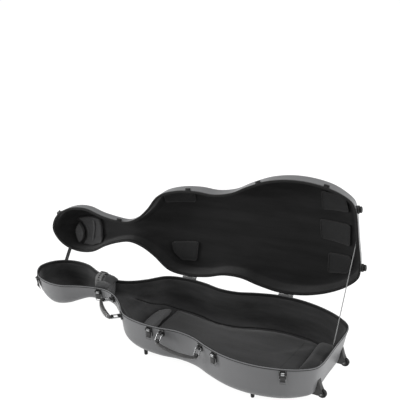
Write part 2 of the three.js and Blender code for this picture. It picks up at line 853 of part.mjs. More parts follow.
// Hinges: a leaf on each wall, the base's carrying the pin on which the lid's knuckle turns
function hingeFrame(share) {
  const { point, direction, out } = hingeLine;
  const run = direction.clone().negate();
  const origin = point.clone().addScaledVector(direction, (-share * caseLength - point.x) / direction.x);
  return new THREE.Matrix4().makeBasis(run, out, new THREE.Vector3(0, 0, 1)).setPosition(origin);
}
function leafBody(side, knuckles) {
  const foot = knuckleRadius + runningGap;
  const z = (low, high) => (side > 0 ? [low, high] : [-high, -low]);
  const half = hingeLength / 2;
  const wall = [-hingeStandoff - overrun / 2, leafThickness - hingeStandoff];
  return join(
    block([-half, half], wall, z(foot, leafHeight)),
    ...knuckles.flatMap(([x0, x1]) => [
      rod(knuckleRadius, x0, x1, 0, 0, knuckleSides),
      block([x0, x1], [-hingeStandoff, 0], z(hingePinRadius, foot + leafThickness)),
    ]),
  );
}
function addHinges() {
  const half = hingeLength / 2;
  const inner = half - knuckleLength;
  const middle = inner - runningGap;
  const pin = rod(hingePinRadius, -half, half, 0, 0);
  const bore = rod(hingePinRadius + runningGap, -half, half, 0, 0);
  hingeShares.forEach(([name, share]) => {
    const frame = hingeFrame(share);
    const baseLeaf = join(leafBody(-1, [[-half, -inner], [inner, half]]), pin);
    const lidLeaf = cut(leafBody(1, [[-middle, middle]]), bore);
    addPiece(`hinge_leaf_base_${name}`, seated(baseLeaf, frame, baseBlank), finishes.steel);
    addPiece(`hinge_leaf_lid_${name}`, seated(lidLeaf, frame, lidBlank), finishes.steel, lidGroup);
  });
}

// Draw latches: a plate whose ears hold the pivot pin, a lever, a wire bail in it, a keeper above
const latchEarIn = leverWidth / 2 + runningGap;
const latchEarOut = latchEarIn + latchEar;
function latchPlateBody() {
  const middle = -latchDrop - latchHeight / 2;
  const ear = [-latchPivotDrop - latchEarRadius, latchEarRadius - latchPivotDrop];
  return join(
    extrudeAlongY(roundedRect(latchWidth, latchHeight, latchCorner, 0, middle), -overrun / 2, latchPlate),
    ...[-latchEarOut, latchEarIn].flatMap((x) => [
      rod(latchEarRadius, x, x + latchEar, latchPivotOut, -latchPivotDrop, knuckleSides),
      block([x, x + latchEar], [0, latchPivotOut], ear),
    ]),
    rod(latchPinRadius, -latchEarOut, latchEarOut, latchPivotOut, -latchPivotDrop),
  );
}
function leverBody() {
  const half = leverWidth / 2;
  const back = -leverThickness / 3;
  const front = back + leverThickness;
  const bend = -leverBendShare * leverLength;
  const curl = -leverLength + leverThickness;
  const shape = new THREE.Shape();
  shape.moveTo(back, 0).lineTo(front, 0).lineTo(front, bend);
  shape.quadraticCurveTo(front, curl, leverTipOut + leverThickness / 2, -leverLength);
  shape.lineTo(leverTipOut - leverThickness / 2, -leverLength - leverThickness / 2);
  shape.quadraticCurveTo(back, curl - leverThickness / 2, back, bend);
  return cut(
    join(
      extrudeAlongX(shape, -half, half),
      rod(leverBarrel, -half, half, 0, 0, knuckleSides),
      rod(bailBarrel, -half, half, 0, -bailDrop, knuckleSides),
    ),
    rod(latchPinRadius + runningGap, -half, half, 0, 0),
    rod(bailWire + runningGap, -half, half, 0, -bailDrop),
  );
}
function bailBody() {
  const points = [
    [bailBarrel, 0], [bailHalfWidth, 0], [bailHalfWidth, -bailReach], [-bailHalfWidth, -bailReach],
    [-bailHalfWidth, 0], [-bailBarrel, 0],
  ].map(([x, z]) => new THREE.Vector3(x, 0, z));
  return tidyBody(sweep(circle(bailWire, wireSides), roundPoints(points, bailCorner)));
}
function keeperBody() {
  const across = [-keeperWidth / 2, keeperWidth / 2];
  const lipTop = keeperLip + keeperLipThickness;
  const middle = (keeperHigh + keeperLow) / 2;
  const plate = roundedRect(keeperWidth, keeperHigh - keeperLow, keeperCorner, 0, middle);
  return join(
    extrudeAlongY(plate, -overrun / 2, keeperPlate),
    block(across, [0, keeperLipOut], [keeperLip, lipTop]),
    block(across, [keeperLipOut - keeperLipThickness, keeperLipOut], [keeperLip, lipTop + keeperLipReturn]),
  );
}
function addLatches() {
  latchShares.forEach(([name, share]) => {
    const frame = sideFrame(base, share, -1, 0);
    addPiece(`latch_plate_${name}`, seated(latchPlateBody(), frame, baseBlank), finishes.blackMetal);
    const pivot = new THREE.Matrix4().makeTranslation(0, latchPivotOut, -latchPivotDrop);
    const leverFrame = addFrame(`latch_lever_${name}_pivot`, frame.clone().multiply(pivot));
    addPiece(`latch_lever_${name}`, leverBody(), finishes.chrome, leverFrame);
    const drop = new THREE.Matrix4().makeTranslation(0, 0, -bailDrop);
    const bailFrame = addFrame(`latch_bail_${name}_pivot`, drop, leverFrame);
    addPiece(`latch_bail_${name}`, bailBody(), finishes.chrome, bailFrame);
    const keeper = seated(keeperBody(), sideFrame(lid, share, -1, 0), lidBlank);
    addPiece(`latch_keeper_${name}`, keeper, finishes.chrome, lidGroup);
  });
}

// Carrying handles: two brackets with an eye, a link swinging in each, a bowed grip between the links
function bracketBody(x) {
  const plate = roundedRect(bracketWidth, bracketHeight, bracketCorner, x);
  const [x0, x1] = [x - eyeLength / 2, x + eyeLength / 2];
  const body = join(
    extrudeAlongY(plate, -overrun / 2, bracketPlate),
    rod(eyeRadius, x0, x1, pivotOut, 0, eyeSides),
    block([x0, x1], [0, pivotOut], [-eyeRadius, eyeRadius]),
  );
  return cut(body, rod(linkBore, x0, x1, pivotOut, 0));
}
function linkBody(x) {
  const long = linkReach + linkStock;
  const outline = roundedRect(linkWidth, long, linkCorner, x, -linkReach / 2);
  const window = [linkWidth - 2 * linkStock, long - 2 * linkStock, linkCorner / 3];
  outline.holes.push(roundedRect(...window, x, -linkReach / 2));
  return tidyBody(extrudeAlongY(outline, -linkStock / 2, linkStock / 2));
}
function gripBody(half) {
  const rings = [];
  for (let k = 0; k <= gripSections; k += 1) {
    const q = (2 * k) / gripSections - 1;
    const swell = 1 - q ** 4;
    const deep = THREE.MathUtils.lerp(gripEndHalfThickness, gripHalfThickness, swell);
    const wide = THREE.MathUtils.lerp(gripEndHalfWidth, gripHalfWidth, swell);
    const out = gripLift + gripBow * (1 - q * q) + deep - gripEndHalfThickness;
    const ring = [];
    for (let side = 0; side < gripSides; side += 1) {
      const angle = (2 * Math.PI * (side + 1 / 2)) / gripSides;
      const x = q * (half + gripOverhang);
      ring.push(new THREE.Vector3(x, wide * Math.cos(angle), deep * Math.sin(angle) - out));
    }
    rings.push(ring);
  }
  const eyes = [-half, half].map((x) => {
    return rod(gripEyeRadius, x - eyeLength / 2, x + eyeLength / 2, 0, 0, eyeSides);
  });
  const bores = [-half, half].map((x) => rod(linkBore, x - eyeLength, x + eyeLength, 0, 0));
  return cut(join(stitch(rings, 0, true), ...eyes), ...bores);
}
function addHandle(name, [bottomShare, topShare], hang) {
  const [a, b] = [bottomShare, topShare].map((share) => {
    const p = wallPoint((q) => q.x <= -share * caseLength, -1);
    return new THREE.Vector3(p.x, p.y, 0);
  });
  const half = a.distanceTo(b) / 2;
  const run = b.clone().sub(a).normalize();
  const up = new THREE.Vector3(0, 0, 1);
  const out = up.clone().cross(run);
  const middle = a.clone().add(b).divideScalar(2).setZ(-handleDrop);
  const frame = new THREE.Matrix4().makeBasis(run, out, up).setPosition(middle);
  const swing = new THREE.Matrix4().makeTranslation(0, pivotOut, 0);
  swing.multiply(new THREE.Matrix4().makeRotationX(hang));
  const swingFrame = addFrame(`${name}_pivot`, frame.clone().multiply(swing));
  Object.entries({ bottom: -half, top: half }).forEach(([end, x]) => {
    const bracket = seated(bracketBody(x), frame, baseBlank);
    addPiece(`${name}_bracket_${end}`, bracket, finishes.blackMetal);
    addPiece(`${name}_link_${end}`, linkBody(x), finishes.chrome, swingFrame);
  });
  const reach = new THREE.Matrix4().makeTranslation(0, 0, -linkReach);
  const gripFrame = addFrame(`${name}_grip_pivot`, reach, swingFrame);
  addPiece(`${name}_grip`, gripBody(half), finishes.leather, gripFrame);
}

// Feet: studs under the back, round buffers with a collar on the lid's end
const bothSides = { latch_side: -1, hinge_side: 1 };
function addFeet() {
  const floor = -baseDepth - baseCrown - backFootDrop;
  backFootShares.forEach(([end, share]) => {
    Object.entries(bothSides).forEach(([where, side]) => {
      const p = wallPoint((q) => q.x <= -share * caseLength, side);
      const tip = backFootRadius - backFootTaper;
      const stud = new THREE.CylinderGeometry(backFootRadius, tip, overrun, footSides);
      stud.rotateX(Math.PI / 2).translate(p.x, p.y - side * backFootInset, overrun / 2 + floor);
      addPiece(`back_foot_${end}_${where}`, toGeometry(toSolid(stud).subtract(baseBlank)), finishes.rubber);
    });
  });
  Object.entries(bothSides).forEach(([where, side]) => {
    const y = side * endFootSpread;
    const body = join(
      rod(endFootRadius, -overrun, wheelSet + wheelRadius, y, endFootHeight, footSides),
      rod(endFootCollar, -overrun, endFootCollarTip, y, endFootHeight, footSides),
    );
    const foot = toGeometry(toSolid(body).subtract(lidBlank));
    addPiece(`lid_end_foot_${where}`, foot, finishes.rubber, lidGroup);
  });
}

// Wheels at the bottom end, each on an axle between the cheeks of a moulded housing
function acrossY(radius, y, width, sides) {
  return new THREE.CylinderGeometry(radius, radius, width, sides).translate(wheelSet, y, -wheelDrop);
}
function housingBody(y) {
  const shape = new THREE.Shape();
  shape.moveTo(-housingDepth, -housingTop).lineTo(-housingSlope, -housingTop);
  shape.lineTo(housingShoulder, -(wheelDrop + housingTop) / 2).lineTo(wheelSet + housingNose, -wheelDrop);
  shape.absarc(wheelSet, -wheelDrop, housingNose, 0, -Math.PI / 2, true);
  shape.lineTo(-housingDepth, -wheelDrop - housingNose);
  const body = cut(
    extrudeAlongY(shape, y - housingWidth / 2, y + housingWidth / 2),
    acrossY(wheelRadius + wheelWellGap, y, wheelWidth + wheelWellGap, wheelSides),
    acrossY(axleRadius + runningGap / 2, y, 2 * housingWidth, boreSides),
  );
  return toGeometry(toSolid(body).subtract(baseBlank));
}
function wheelBody() {
  const half = wheelWidth / 2;
  const tread = wheelRadius - wheelRound;
  const profile = [
    [wheelBore, -half], [tread, -half], [wheelRadius, wheelRound - half],
    [wheelRadius, half - wheelRound], [tread, half], [wheelBore, half], [wheelBore, -half],
  ].map(([r, y]) => new THREE.Vector2(r, y));
  return tidyBody(new THREE.LatheGeometry(profile, wheelSides));
}
function addWheels() {
  Object.entries(bothSides).forEach(([where, side]) => {
    const y = side * wheelSpread;
    addPiece(`wheel_housing_${where}`, housingBody(y), finishes.blackMetal);
    addPiece(`wheel_axle_${where}`, acrossY(axleRadius, y, housingWidth, boreSides), finishes.steel);
    const hub = new THREE.Matrix4().makeTranslation(wheelSet, y, -wheelDrop);
    addPiece(`wheel_${where}`, wheelBody(), finishes.rubber, addFrame(`wheel_${where}_pivot`, hub));
  });
}

// A flat strap through given points, its width turning evenly from one direction to another
function strapBody(points, width, thickness, from, to = from) {
  const route = new Route(points);
  const rings = points.map((p, k) => {
    const share = k / (points.length - 1);
    const side = from.clone().lerp(to, share).setLength(width / 2);
    const through = route.getTangent(share).cross(side).setLength(thickness / 2);
    return [[1, 1], [-1, 1], [-1, -1], [1, -1]].map(([a, t]) => {
      return p.clone().addScaledVector(side, a).addScaledVector(through, t);
    });
  });
  return stitch(rings, 0, true);
}

// Neck strap: lies on the ears of the cradle, arched over the throat, its buckle at the hinge side
function addNeckStrap() {
  const place = new THREE.Vector3(-neckStrapShare * caseLength, 0, cradleEarHeight + seatGap);
  const frame = new THREE.Matrix4().makeRotationZ(neckStrapSkew).setPosition(place);
  const end = new THREE.Matrix4().makeTranslation(0, neckStrapHalf, 0);
  const pivot = addFrame('neck_strap_pivot', frame.multiply(end));
  const middle = neckStrapThickness / 2;
  const points = [];
  for (let k = 0; k <= strapSteps; k += 1) {
    const y = (2 * neckStrapHalf * k) / strapSteps - neckStrapHalf;
    const rise = Math.max(0, 1 - (2 * y / cradleThroat) ** 2);
    points.push(new THREE.Vector3(0, -neckStrapHalf - y, middle + neckStrapArch * rise));
  }
  const strap = strapBody(points, neckStrapWidth, neckStrapThickness, new THREE.Vector3(1, 0, 0));
  const buckle = block([-buckleWidth / 2, buckleWidth / 2], [-buckleLength, 0], [0, buckleThickness]);
  addPiece('neck_strap', join(strap, buckle), finishes.webbing, pivot);
}

// Lid stays: a tape between the end walls, webbing inside the hinge side of the scroll
function addStays() {
  const open = aboutHinge(openAngle);
  const ends = [base, lid].map((half) => {
    const height = half.up * stayHeight;
    const inset = hollowSkin + leanAt(half, 0) * stayHeight + stayThickness;
    return new THREE.Vector3(-inset, 0, height);
  });
  const tape = new THREE.LineCurve3(ends[0], ends[1].applyMatrix4(open)).getPoints(4);
  const along = tape[1].clone().sub(tape[0]);
  const across = new THREE.Vector3(1, 0, 0).cross(along);
  addPiece('stay_end', strapBody(tape, stayWidth, stayThickness, across), finishes.webbing);
  const onBase = sideFrame(base, scrollStayShare, 1, 0);
  const onLid = open.clone().multiply(sideFrame(lid, scrollStayShare, 1, 0));
  const at = (frame, inset, height) => new THREE.Vector3(0, -inset, height).applyMatrix4(frame);
  const inset = hollowSkin + stayThickness;
  const webbing = [
    at(onBase, inset, -stayHeight),
    at(onBase, scrollStayInset, 0),
    at(onBase, scrollStayInset, scrollStayLift),
    at(onLid, scrollStayInset, -scrollStayLift),
    at(onLid, scrollStayInset, sealHeight),
    at(onLid, inset, stayHeight),
  ];
  const [from, to] = [onBase, onLid].map((frame) => new THREE.Vector3().setFromMatrixColumn(frame, 0));
  addPiece('stay_scroll', strapBody(webbing, scrollStayWidth, stayThickness, from, to), finishes.webbing);
}

addShells();
addRimTrims();
addLinings();
addBackCushion();
addShoulderPad();
addNeckCradle();
addEndBlock();
addHinges();
addLatches();
addHandle('main_handle', mainHandleShares, mainHandleHang);
addHandle('neck_handle', neckHandleShares, neckHandleHang);
addFeet();
addWheels();
addNeckStrap();
addStays();

// The finished case is set down with the middle of its footprint at the origin
assembly.updateMatrixWorld(true);
const footprint = new THREE.Box3().setFromObject(assembly, true);
const centre = footprint.getCenter(new THREE.Vector3());
assembly.position.set(-centre.x, -centre.y, -footprint.min.z);
const celloCase = new THREE.Group();
celloCase.add(assembly);

export default celloCase;
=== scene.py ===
"""Cello hard case lying open on its back: smooth shells, linings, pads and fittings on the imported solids.

The classes work in millimetres of the case's own frame, as the solids are drawn: x = 0 is the bottom end,
the scroll lies towards -x, the latches are on the -y side, the hinges on the +y side, and z = 0 is the plane
where the two rims meet. CaseSpace turns that frame into metres of the row's frame, and opens the lid.
"""

import json
import logging
import math
from contextlib import contextmanager
from dataclasses import dataclass, field
from enum import Enum
from typing import Iterator, Sequence

import bmesh
import bpy
import numpy as np
from mathutils import Matrix, Vector


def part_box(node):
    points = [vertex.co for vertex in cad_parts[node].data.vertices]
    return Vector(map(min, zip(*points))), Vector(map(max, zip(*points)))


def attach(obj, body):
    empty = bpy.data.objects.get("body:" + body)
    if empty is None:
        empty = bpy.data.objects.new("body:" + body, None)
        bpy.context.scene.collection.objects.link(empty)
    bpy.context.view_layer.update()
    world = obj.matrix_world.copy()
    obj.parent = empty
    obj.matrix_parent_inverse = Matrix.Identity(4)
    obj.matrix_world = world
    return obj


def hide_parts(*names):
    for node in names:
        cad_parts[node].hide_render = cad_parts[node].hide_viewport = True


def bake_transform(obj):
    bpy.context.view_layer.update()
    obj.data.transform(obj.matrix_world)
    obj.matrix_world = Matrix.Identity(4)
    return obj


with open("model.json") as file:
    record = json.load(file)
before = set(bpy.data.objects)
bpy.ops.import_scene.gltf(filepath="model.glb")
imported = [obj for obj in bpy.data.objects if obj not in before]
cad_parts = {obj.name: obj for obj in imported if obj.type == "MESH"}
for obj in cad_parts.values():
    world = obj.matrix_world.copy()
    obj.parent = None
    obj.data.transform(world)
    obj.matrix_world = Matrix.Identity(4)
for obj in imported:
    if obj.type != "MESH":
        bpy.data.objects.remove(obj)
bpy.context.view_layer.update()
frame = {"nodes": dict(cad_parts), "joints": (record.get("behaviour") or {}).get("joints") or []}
LOG = logging.getLogger("cello_case")
MM = 0.001
TAU = 2 * math.pi
Array = np.ndarray
Surface = tuple[Array, list[Array]]
Piece = bpy.types.Object
Material = bpy.types.Material
Socket = bpy.types.NodeSocket


class Body(str, Enum):
    """Moving bodies of the case."""

    BASE = "base"
    LID = "lid"
    NECK_STRAP = "neck_strap"


class Slot(str, Enum):
    """Material slots of the record."""

    SHELL = "shell"
    RUBBER = "rubber"
    FLEECE = "fleece"
    CUSHION = "cushion"
    BLACK_METAL = "black_metal"
    CHROME = "chrome"
    GRIP = "grip"
    WEBBING = "webbing"
    STEEL = "steel"


class Field:
    """A shader value in a sum; each operator adds one Math node."""

    def __init__(self, graph: "Graph", socket: Socket) -> None:
        """Wraps an output socket of a graph."""
        self.graph = graph
        self.socket = socket

    def _math(self, operation: str, *values: "Field | float") -> "Field":
        """Adds a Math node over the values."""
        return self.graph.node("ShaderNodeMath", {"operation": operation}, dict(enumerate(values)))

    def __add__(self, other: "Field | float") -> "Field":
        """Sum."""
        return self._math("ADD", self, other)

    def __sub__(self, other: "Field | float") -> "Field":
        """Difference."""
        return self._math("SUBTRACT", self, other)

    def __rsub__(self, other: float) -> "Field":
        """Reflected difference."""
        return self._math("SUBTRACT", other, self)

    def __mul__(self, other: "Field | float") -> "Field":
        """Product."""
        return self._math("MULTIPLY", self, other)

    def __truediv__(self, other: "Field | float") -> "Field":
        """Quotient."""
        return self._math("DIVIDE", self, other)

    def __pow__(self, other: "Field | float") -> "Field":
        """Power."""
        return self._math("POWER", self, other)

    __radd__ = __add__
    __rmul__ = __mul__

    def sine(self) -> "Field":
        """Sine of the value."""
        return self._math("SINE", self)

    def size(self) -> "Field":
        """Value without its sign."""
        return self._math("ABSOLUTE", self)

    def clipped(self, low: float, high: float) -> "Field":
        """Value spread from low..high to 0..1 and clipped there."""
        settings = {"clamp": True}
        return self.graph.node("ShaderNodeMapRange", settings, {0: self, 1: low, 2: high, 3: 0.0, 4: 1.0})


class Graph:
    """Node tree of one material, with the shader's sockets set by name."""

    def __init__(self, name: str) -> None:
        """Starts a material with one Principled shader."""
        self.material = bpy.data.materials.new(name)
        self.material.use_nodes = True
        self.tree = self.material.node_tree
        self.tree.nodes.clear()
        self.shader = self.tree.nodes.new("ShaderNodeBsdfPrincipled")
        output = self.tree.nodes.new("ShaderNodeOutputMaterial")
        self.tree.links.new(self.shader.outputs[0], output.inputs[0])

    def feed(self, socket: Socket, value: "Field | float | Sequence[float]") -> None:
        """Links a field to a socket, or sets the socket's own value."""
        if isinstance(value, Field):
            self.tree.links.new(value.socket, socket)
        else:
            socket.default_value = value

    def node(self, kind: str, settings: dict | None = None, inputs: dict | None = None,
             output: int | str = 0) -> Field:
        """Adds a node.

        Args:
            kind: the node's type name.
            settings: its properties, set first; stops are (place, grey or colour) pairs of a ramp.
            inputs: values or fields for its sockets, by name or number.
            output: the socket that is returned.

        Returns:
            The chosen output as a field.
        """
        node = self.tree.nodes.new(kind)
        for key, value in (settings or {}).items():
            if key == "stops":
                for k, (place, level) in enumerate(value):
                    stop = node.color_ramp.elements[k] if k < 2 else node.color_ramp.elements.new(place)
                    stop.position = place
                    stop.color = (level, level, level, 1)
            else:
                setattr(node, key, value)
        for key, value in (inputs or {}).items():
            self.feed(node.inputs[key], value)
        return Field(self, node.outputs[output])

    def place(self, stretch: Sequence[float] = (1, 1, 1), source: str = "Object") -> Field:
        """Object or UV coordinates in metres, stretched along the axes."""
        at = self.node("ShaderNodeTexCoord", output=source)
        return self.node("ShaderNodeMapping", None, {"Vector": at, "Scale": stretch})

    def noise(self, at: Field, scale: float, detail: float = 3, rough: float = 0.5) -> Field:
        """Noise of scale features a metre, 0 to 1."""
        inputs = {"Vector": at, "Scale": scale, "Detail": detail, "Roughness": rough}
        return self.node("ShaderNodeTexNoise", None, inputs)

    def cells(self, at: Field, scale: float) -> Field:
        """Distance to the nearest of scale cells a metre."""
        return self.node("ShaderNodeTexVoronoi", None, {"Vector": at, "Scale": scale}, "Distance")

    def parts(self, at: Field) -> list[Field]:
        """The three parts of a vector."""
        node = self.node("ShaderNodeSeparateXYZ", None, {0: at}).socket.node
        return [Field(self, node.outputs[k]) for k in range(3)]

    def mix(self, share: "Field | float", first: "Field | tuple", second: "Field | tuple") -> Field:
        """Colour from first to second by share."""
        return self.node("ShaderNodeMix", {"data_type": "RGBA"}, {0: share, 6: first, 7: second}, 2)

    def bump(self, height: Field, depth: float, strength: float = 1.0) -> Field:
        """Normal bent by a height of 0 to 1 that stands for depth in metres."""
        return self.node("ShaderNodeBump", None, {"Height": height, "Distance": depth, "Strength": strength})

    def dress(self, **sockets: "Field | float | tuple") -> Material:
        """Sets the shader's sockets, _ standing for a space, and returns the material."""
        for key, value in sockets.items():
            self.feed(self.shader.inputs[key.replace("_", " ")], value)
        return self.material


def grey(level: float, tint: Sequence[float] = (1, 1, 1)) -> tuple[float, float, float, float]:
    """Linear colour of a display grey of 0 to 1, tinted."""
    linear = level / 12.92 if level < 0.04045 else ((level + 0.055) / 1.055) ** 2.4
    return (*(linear * t for t in tint), 1.0)


@dataclass(frozen=True)
class MouldedPlastic:
    """Satin moulded sheet: slow cloudiness, a fine pebble grain, faint rubbed streaks."""

    name: str = "satin_moulded_grey"
    dark: float = 0.405
    light: float = 0.445
    gloss: float = 0.36
    pebble: float = 620
    rub: float = 0.1

    def material(self) -> Material:
        """Builds the material."""
        g = Graph(self.name)
        at = g.place()
        cloud = g.noise(at, 7, 4)
        pebble = g.noise(at, self.pebble, 3, 0.55)
        pits = g.cells(at, self.pebble * 1.7).clipped(0.02, 0.5)
        streaks = g.noise(g.place((5, 70, 70)), 5, 6, 0.7).clipped(0.6, 0.78)
        dust = g.noise(at, 38, 6, 0.65).clipped(0.52, 0.8)
        tint = (0.985, 0.995, 1.02)
        colour = g.mix(cloud, grey(self.dark, tint), grey(self.light, tint))
        colour = g.mix(pebble.clipped(0.35, 0.7) * 0.16, colour, grey(self.dark * 0.72, tint))
        colour = g.mix(streaks * self.rub, colour, grey(0.62))
        rough = self.gloss + cloud * 0.07 + streaks * 0.1 + dust * 0.06 + pebble * 0.05
        normal = g.bump(pebble * 0.65 + pits * 0.35, 0.00014, 0.55)
        return g.dress(Base_Color=colour, Roughness=rough, Normal=normal, Coat_Weight=0.12,
                       Coat_Roughness=0.3, IOR=1.5)


@dataclass(frozen=True)
class Fleece:
    """Short brushed pile: fuzz, tufts, and a nap that the hand has brushed along the case."""

    name: str
    dark: float
    light: float
    pile: float = 1500
    nap: float = 0.5
    relief: float = 0.0006

    def material(self) -> Material:
        """Builds the material."""
        g = Graph(self.name)
        at = g.place()
        fuzz = g.noise(at, self.pile, 4, 0.7)
        tufts = g.noise(at, self.pile / 6, 3, 0.6)
        brushed = g.noise(g.place((2.2, 9, 16)), 1.6, 5, 0.6).clipped(0.34, 0.68)
        lint = g.cells(g.place((1, 1.7, 1.3)), 95).clipped(0.0, 0.06)
        tint = (1.0, 1.0, 1.015)
        pile = brushed * self.nap + tufts * (1 - self.nap)
        colour = g.mix(pile, grey(self.dark, tint), grey(self.light, tint))
        colour = g.mix(fuzz.clipped(0.42, 0.66) * 0.35, colour, grey(self.light * 1.25, tint))
        colour = g.mix((1 - lint) * 0.3, colour, grey(self.light * 1.7))
        normal = g.bump(fuzz * 0.5 + tufts * 0.5, self.relief, 0.8)
        return g.dress(Base_Color=colour, Roughness=0.88 + fuzz * 0.1, Normal=normal, Sheen_Weight=0.22,
                       Sheen_Roughness=0.45, Specular_IOR_Level=0.15)


@dataclass(frozen=True)
class Rubber:
    """Matt black rubber with moulding grain and a trace of dust."""

    name: str = "black_rubber"
    level: float = 0.095

    def material(self) -> Material:
        """Builds the material."""
        g = Graph(self.name)
        at = g.place()
        grain = g.noise(at, 900, 3)
        dust = g.noise(at, 55, 6, 0.65).clipped(0.5, 0.78)
        colour = g.mix(dust * 0.22, grey(self.level), grey(self.level * 2.4, (1.03, 1, 0.97)))
        colour = g.mix(grain.clipped(0.4, 0.7) * 0.2, colour, grey(self.level * 0.6))
        return g.dress(Base_Color=colour, Roughness=0.56 + dust * 0.2 + grain * 0.08,
                       Normal=g.bump(grain, 0.00012, 0.5), Specular_IOR_Level=0.35)


@dataclass(frozen=True)
class CoatedMetal:
    """Pressed metal under lacquer: orange peel, rubbed bright in places."""

    name: str
    level: float
    metal: float
    gloss: float

    def material(self) -> Material:
        """Builds the material."""
        g = Graph(self.name)
        at = g.place()
        peel = g.noise(at, 460, 2)
        specks = g.cells(at, 1500).clipped(0.0, 0.3)
        worn = g.noise(at, 90, 8, 0.75).clipped(0.62, 0.74)
        colour = g.mix(peel * 0.5, grey(self.level), grey(self.level * 1.25))
        colour = g.mix(worn * 0.35, colour, grey(self.level * 2.2 + 0.08))
        rough = self.gloss + worn * 0.16 + specks * 0.05
        return g.dress(Base_Color=colour, Roughness=rough, Metallic=self.metal,
                       Normal=g.bump(peel * 0.8 + specks * 0.2, 0.0001, 0.45), Coat_Weight=0.2,
                       Coat_Roughness=0.2)


@dataclass(frozen=True)
class Chrome:
    """Plated wire and plate: bright, with polishing lines and finger marks."""

    name: str = "bright_chrome"
    level: float = 0.62

    def material(self) -> Material:
        """Builds the material."""
        g = Graph(self.name)
        lines = g.noise(g.place((40, 900, 40)), 5, 3, 0.6)
        marks = g.noise(g.place(), 120, 6, 0.7).clipped(0.5, 0.76)
        colour = g.mix(marks * 0.3, grey(self.level, (0.99, 1, 1.01)), grey(self.level * 0.8))
        return g.dress(Base_Color=colour, Metallic=1.0, Roughness=0.14 + lines * 0.12 + marks * 0.14,
                       Normal=g.bump(lines, 0.00003, 0.3))


@dataclass(frozen=True)
class Leather:
    """Grained grip leather, worn smooth and paler where hands hold it."""

    name: str = "grip_leather"
    level: float = 0.19

    def material(self) -> Material:
        """Builds the material."""
        g = Graph(self.name)
        at = g.place()
        creases = g.cells(at, 620).clipped(0.0, 0.55)
        folds = g.noise(at, 170, 5, 0.65)
        worn = g.noise(at, 24, 4, 0.6).clipped(0.45, 0.75)
        skin = creases * 0.6 + folds * 0.3
        colour = g.mix(skin, grey(self.level * 0.6), grey(self.level * 1.2, (1.02, 1, 0.98)))
        colour = g.mix(worn * 0.35, colour, grey(self.level * 1.7, (1.03, 1, 0.97)))
        return g.dress(Base_Color=colour, Roughness=0.36 + worn * 0.12 + (1 - creases) * 0.12,
                       Normal=g.bump(creases * 0.6 + folds * 0.4, 0.00035, 0.7), Coat_Weight=0.15,
                       Coat_Roughness=0.35)


@dataclass(frozen=True)
class Webbing:
    """Plain-woven tape: threads over and under each other, by the tape's own UV in metres."""

    name: str
    dark: float
    light: float
    thread: float = 1.1

    def material(self) -> Material:
        """Builds the material."""
        g = Graph(self.name)
        across, along, _ = g.parts(g.place(source="UV"))
        turns = math.pi / (self.thread * MM)
        warp = (across * turns).sine()
        weft = (along * turns).sine()
        over = (warp * weft) * 0.5 + 0.5
        threads = (warp.size() ** 0.5) * (weft.size() ** 0.5)
        dirt = g.noise(g.place(), 60, 5, 0.6)
        colour = g.mix(over * 0.5 + threads * 0.5, grey(self.dark), grey(self.light))
        colour = g.mix(dirt.clipped(0.45, 0.8) * 0.3, colour, grey(self.dark * 0.8, (1.05, 1, 0.95)))
        return g.dress(Base_Color=colour, Roughness=0.8 + dirt * 0.15,
                       Normal=g.bump(over * 0.5 + threads * 0.5, 0.0004, 0.9), Sheen_Weight=0.15,
                       Specular_IOR_Level=0.2)


def made(finish: MouldedPlastic | Fleece | Rubber | CoatedMetal | Chrome | Leather | Webbing) -> Material:
    """Default of a finish's field: its material, built with the set."""
    return field(default_factory=finish.material)


@dataclass
class Finishes:
    """The materials of the case, each made once."""

    shell: Material = made(MouldedPlastic())
    fleece: Material = made(Fleece("charcoal_fleece", 0.108, 0.24, 1500, 0.72))
    lid_fleece: Material = made(Fleece("charcoal_fleece_lid", 0.08, 0.15, 1500, 0.7))
    cushion: Material = made(Fleece("grey_plush", 0.165, 0.27, 1150, 0.62))
    pad: Material = made(Fleece("pad_plush", 0.25, 0.33, 1150, 0.35))
    pocket: Material = made(Fleece("pocket_cloth", 0.14, 0.19, 900, 0.3))
    pouch: Material = made(Fleece("pouch_cloth", 0.21, 0.28, 900, 0.3))
    rubber: Material = made(Rubber())
    trim: Material = made(Rubber("rim_rubber", 0.075))
    lacquer: Material = made(CoatedMetal("black_lacquer", 0.11, 0.35, 0.3))
    plastic: Material = made(CoatedMetal("black_nylon", 0.1, 0.0, 0.42))
    steel: Material = made(CoatedMetal("grey_steel", 0.46, 0.85, 0.34))
    chrome: Material = made(Chrome())
    wire: Material = made(CoatedMetal("satin_wire", 0.42, 0.9, 0.26))
    leather: Material = made(Leather())
    tape: Material = made(Webbing("grey_tape", 0.36, 0.52, 0.9))
    binding: Material = made(Webbing("binding_tape", 0.17, 0.25, 0.8))
    strap: Material = made(Webbing("strap_webbing", 0.3, 0.46, 1.3))
    thread: Material = made(Webbing("seam_thread", 0.2, 0.28, 0.5))


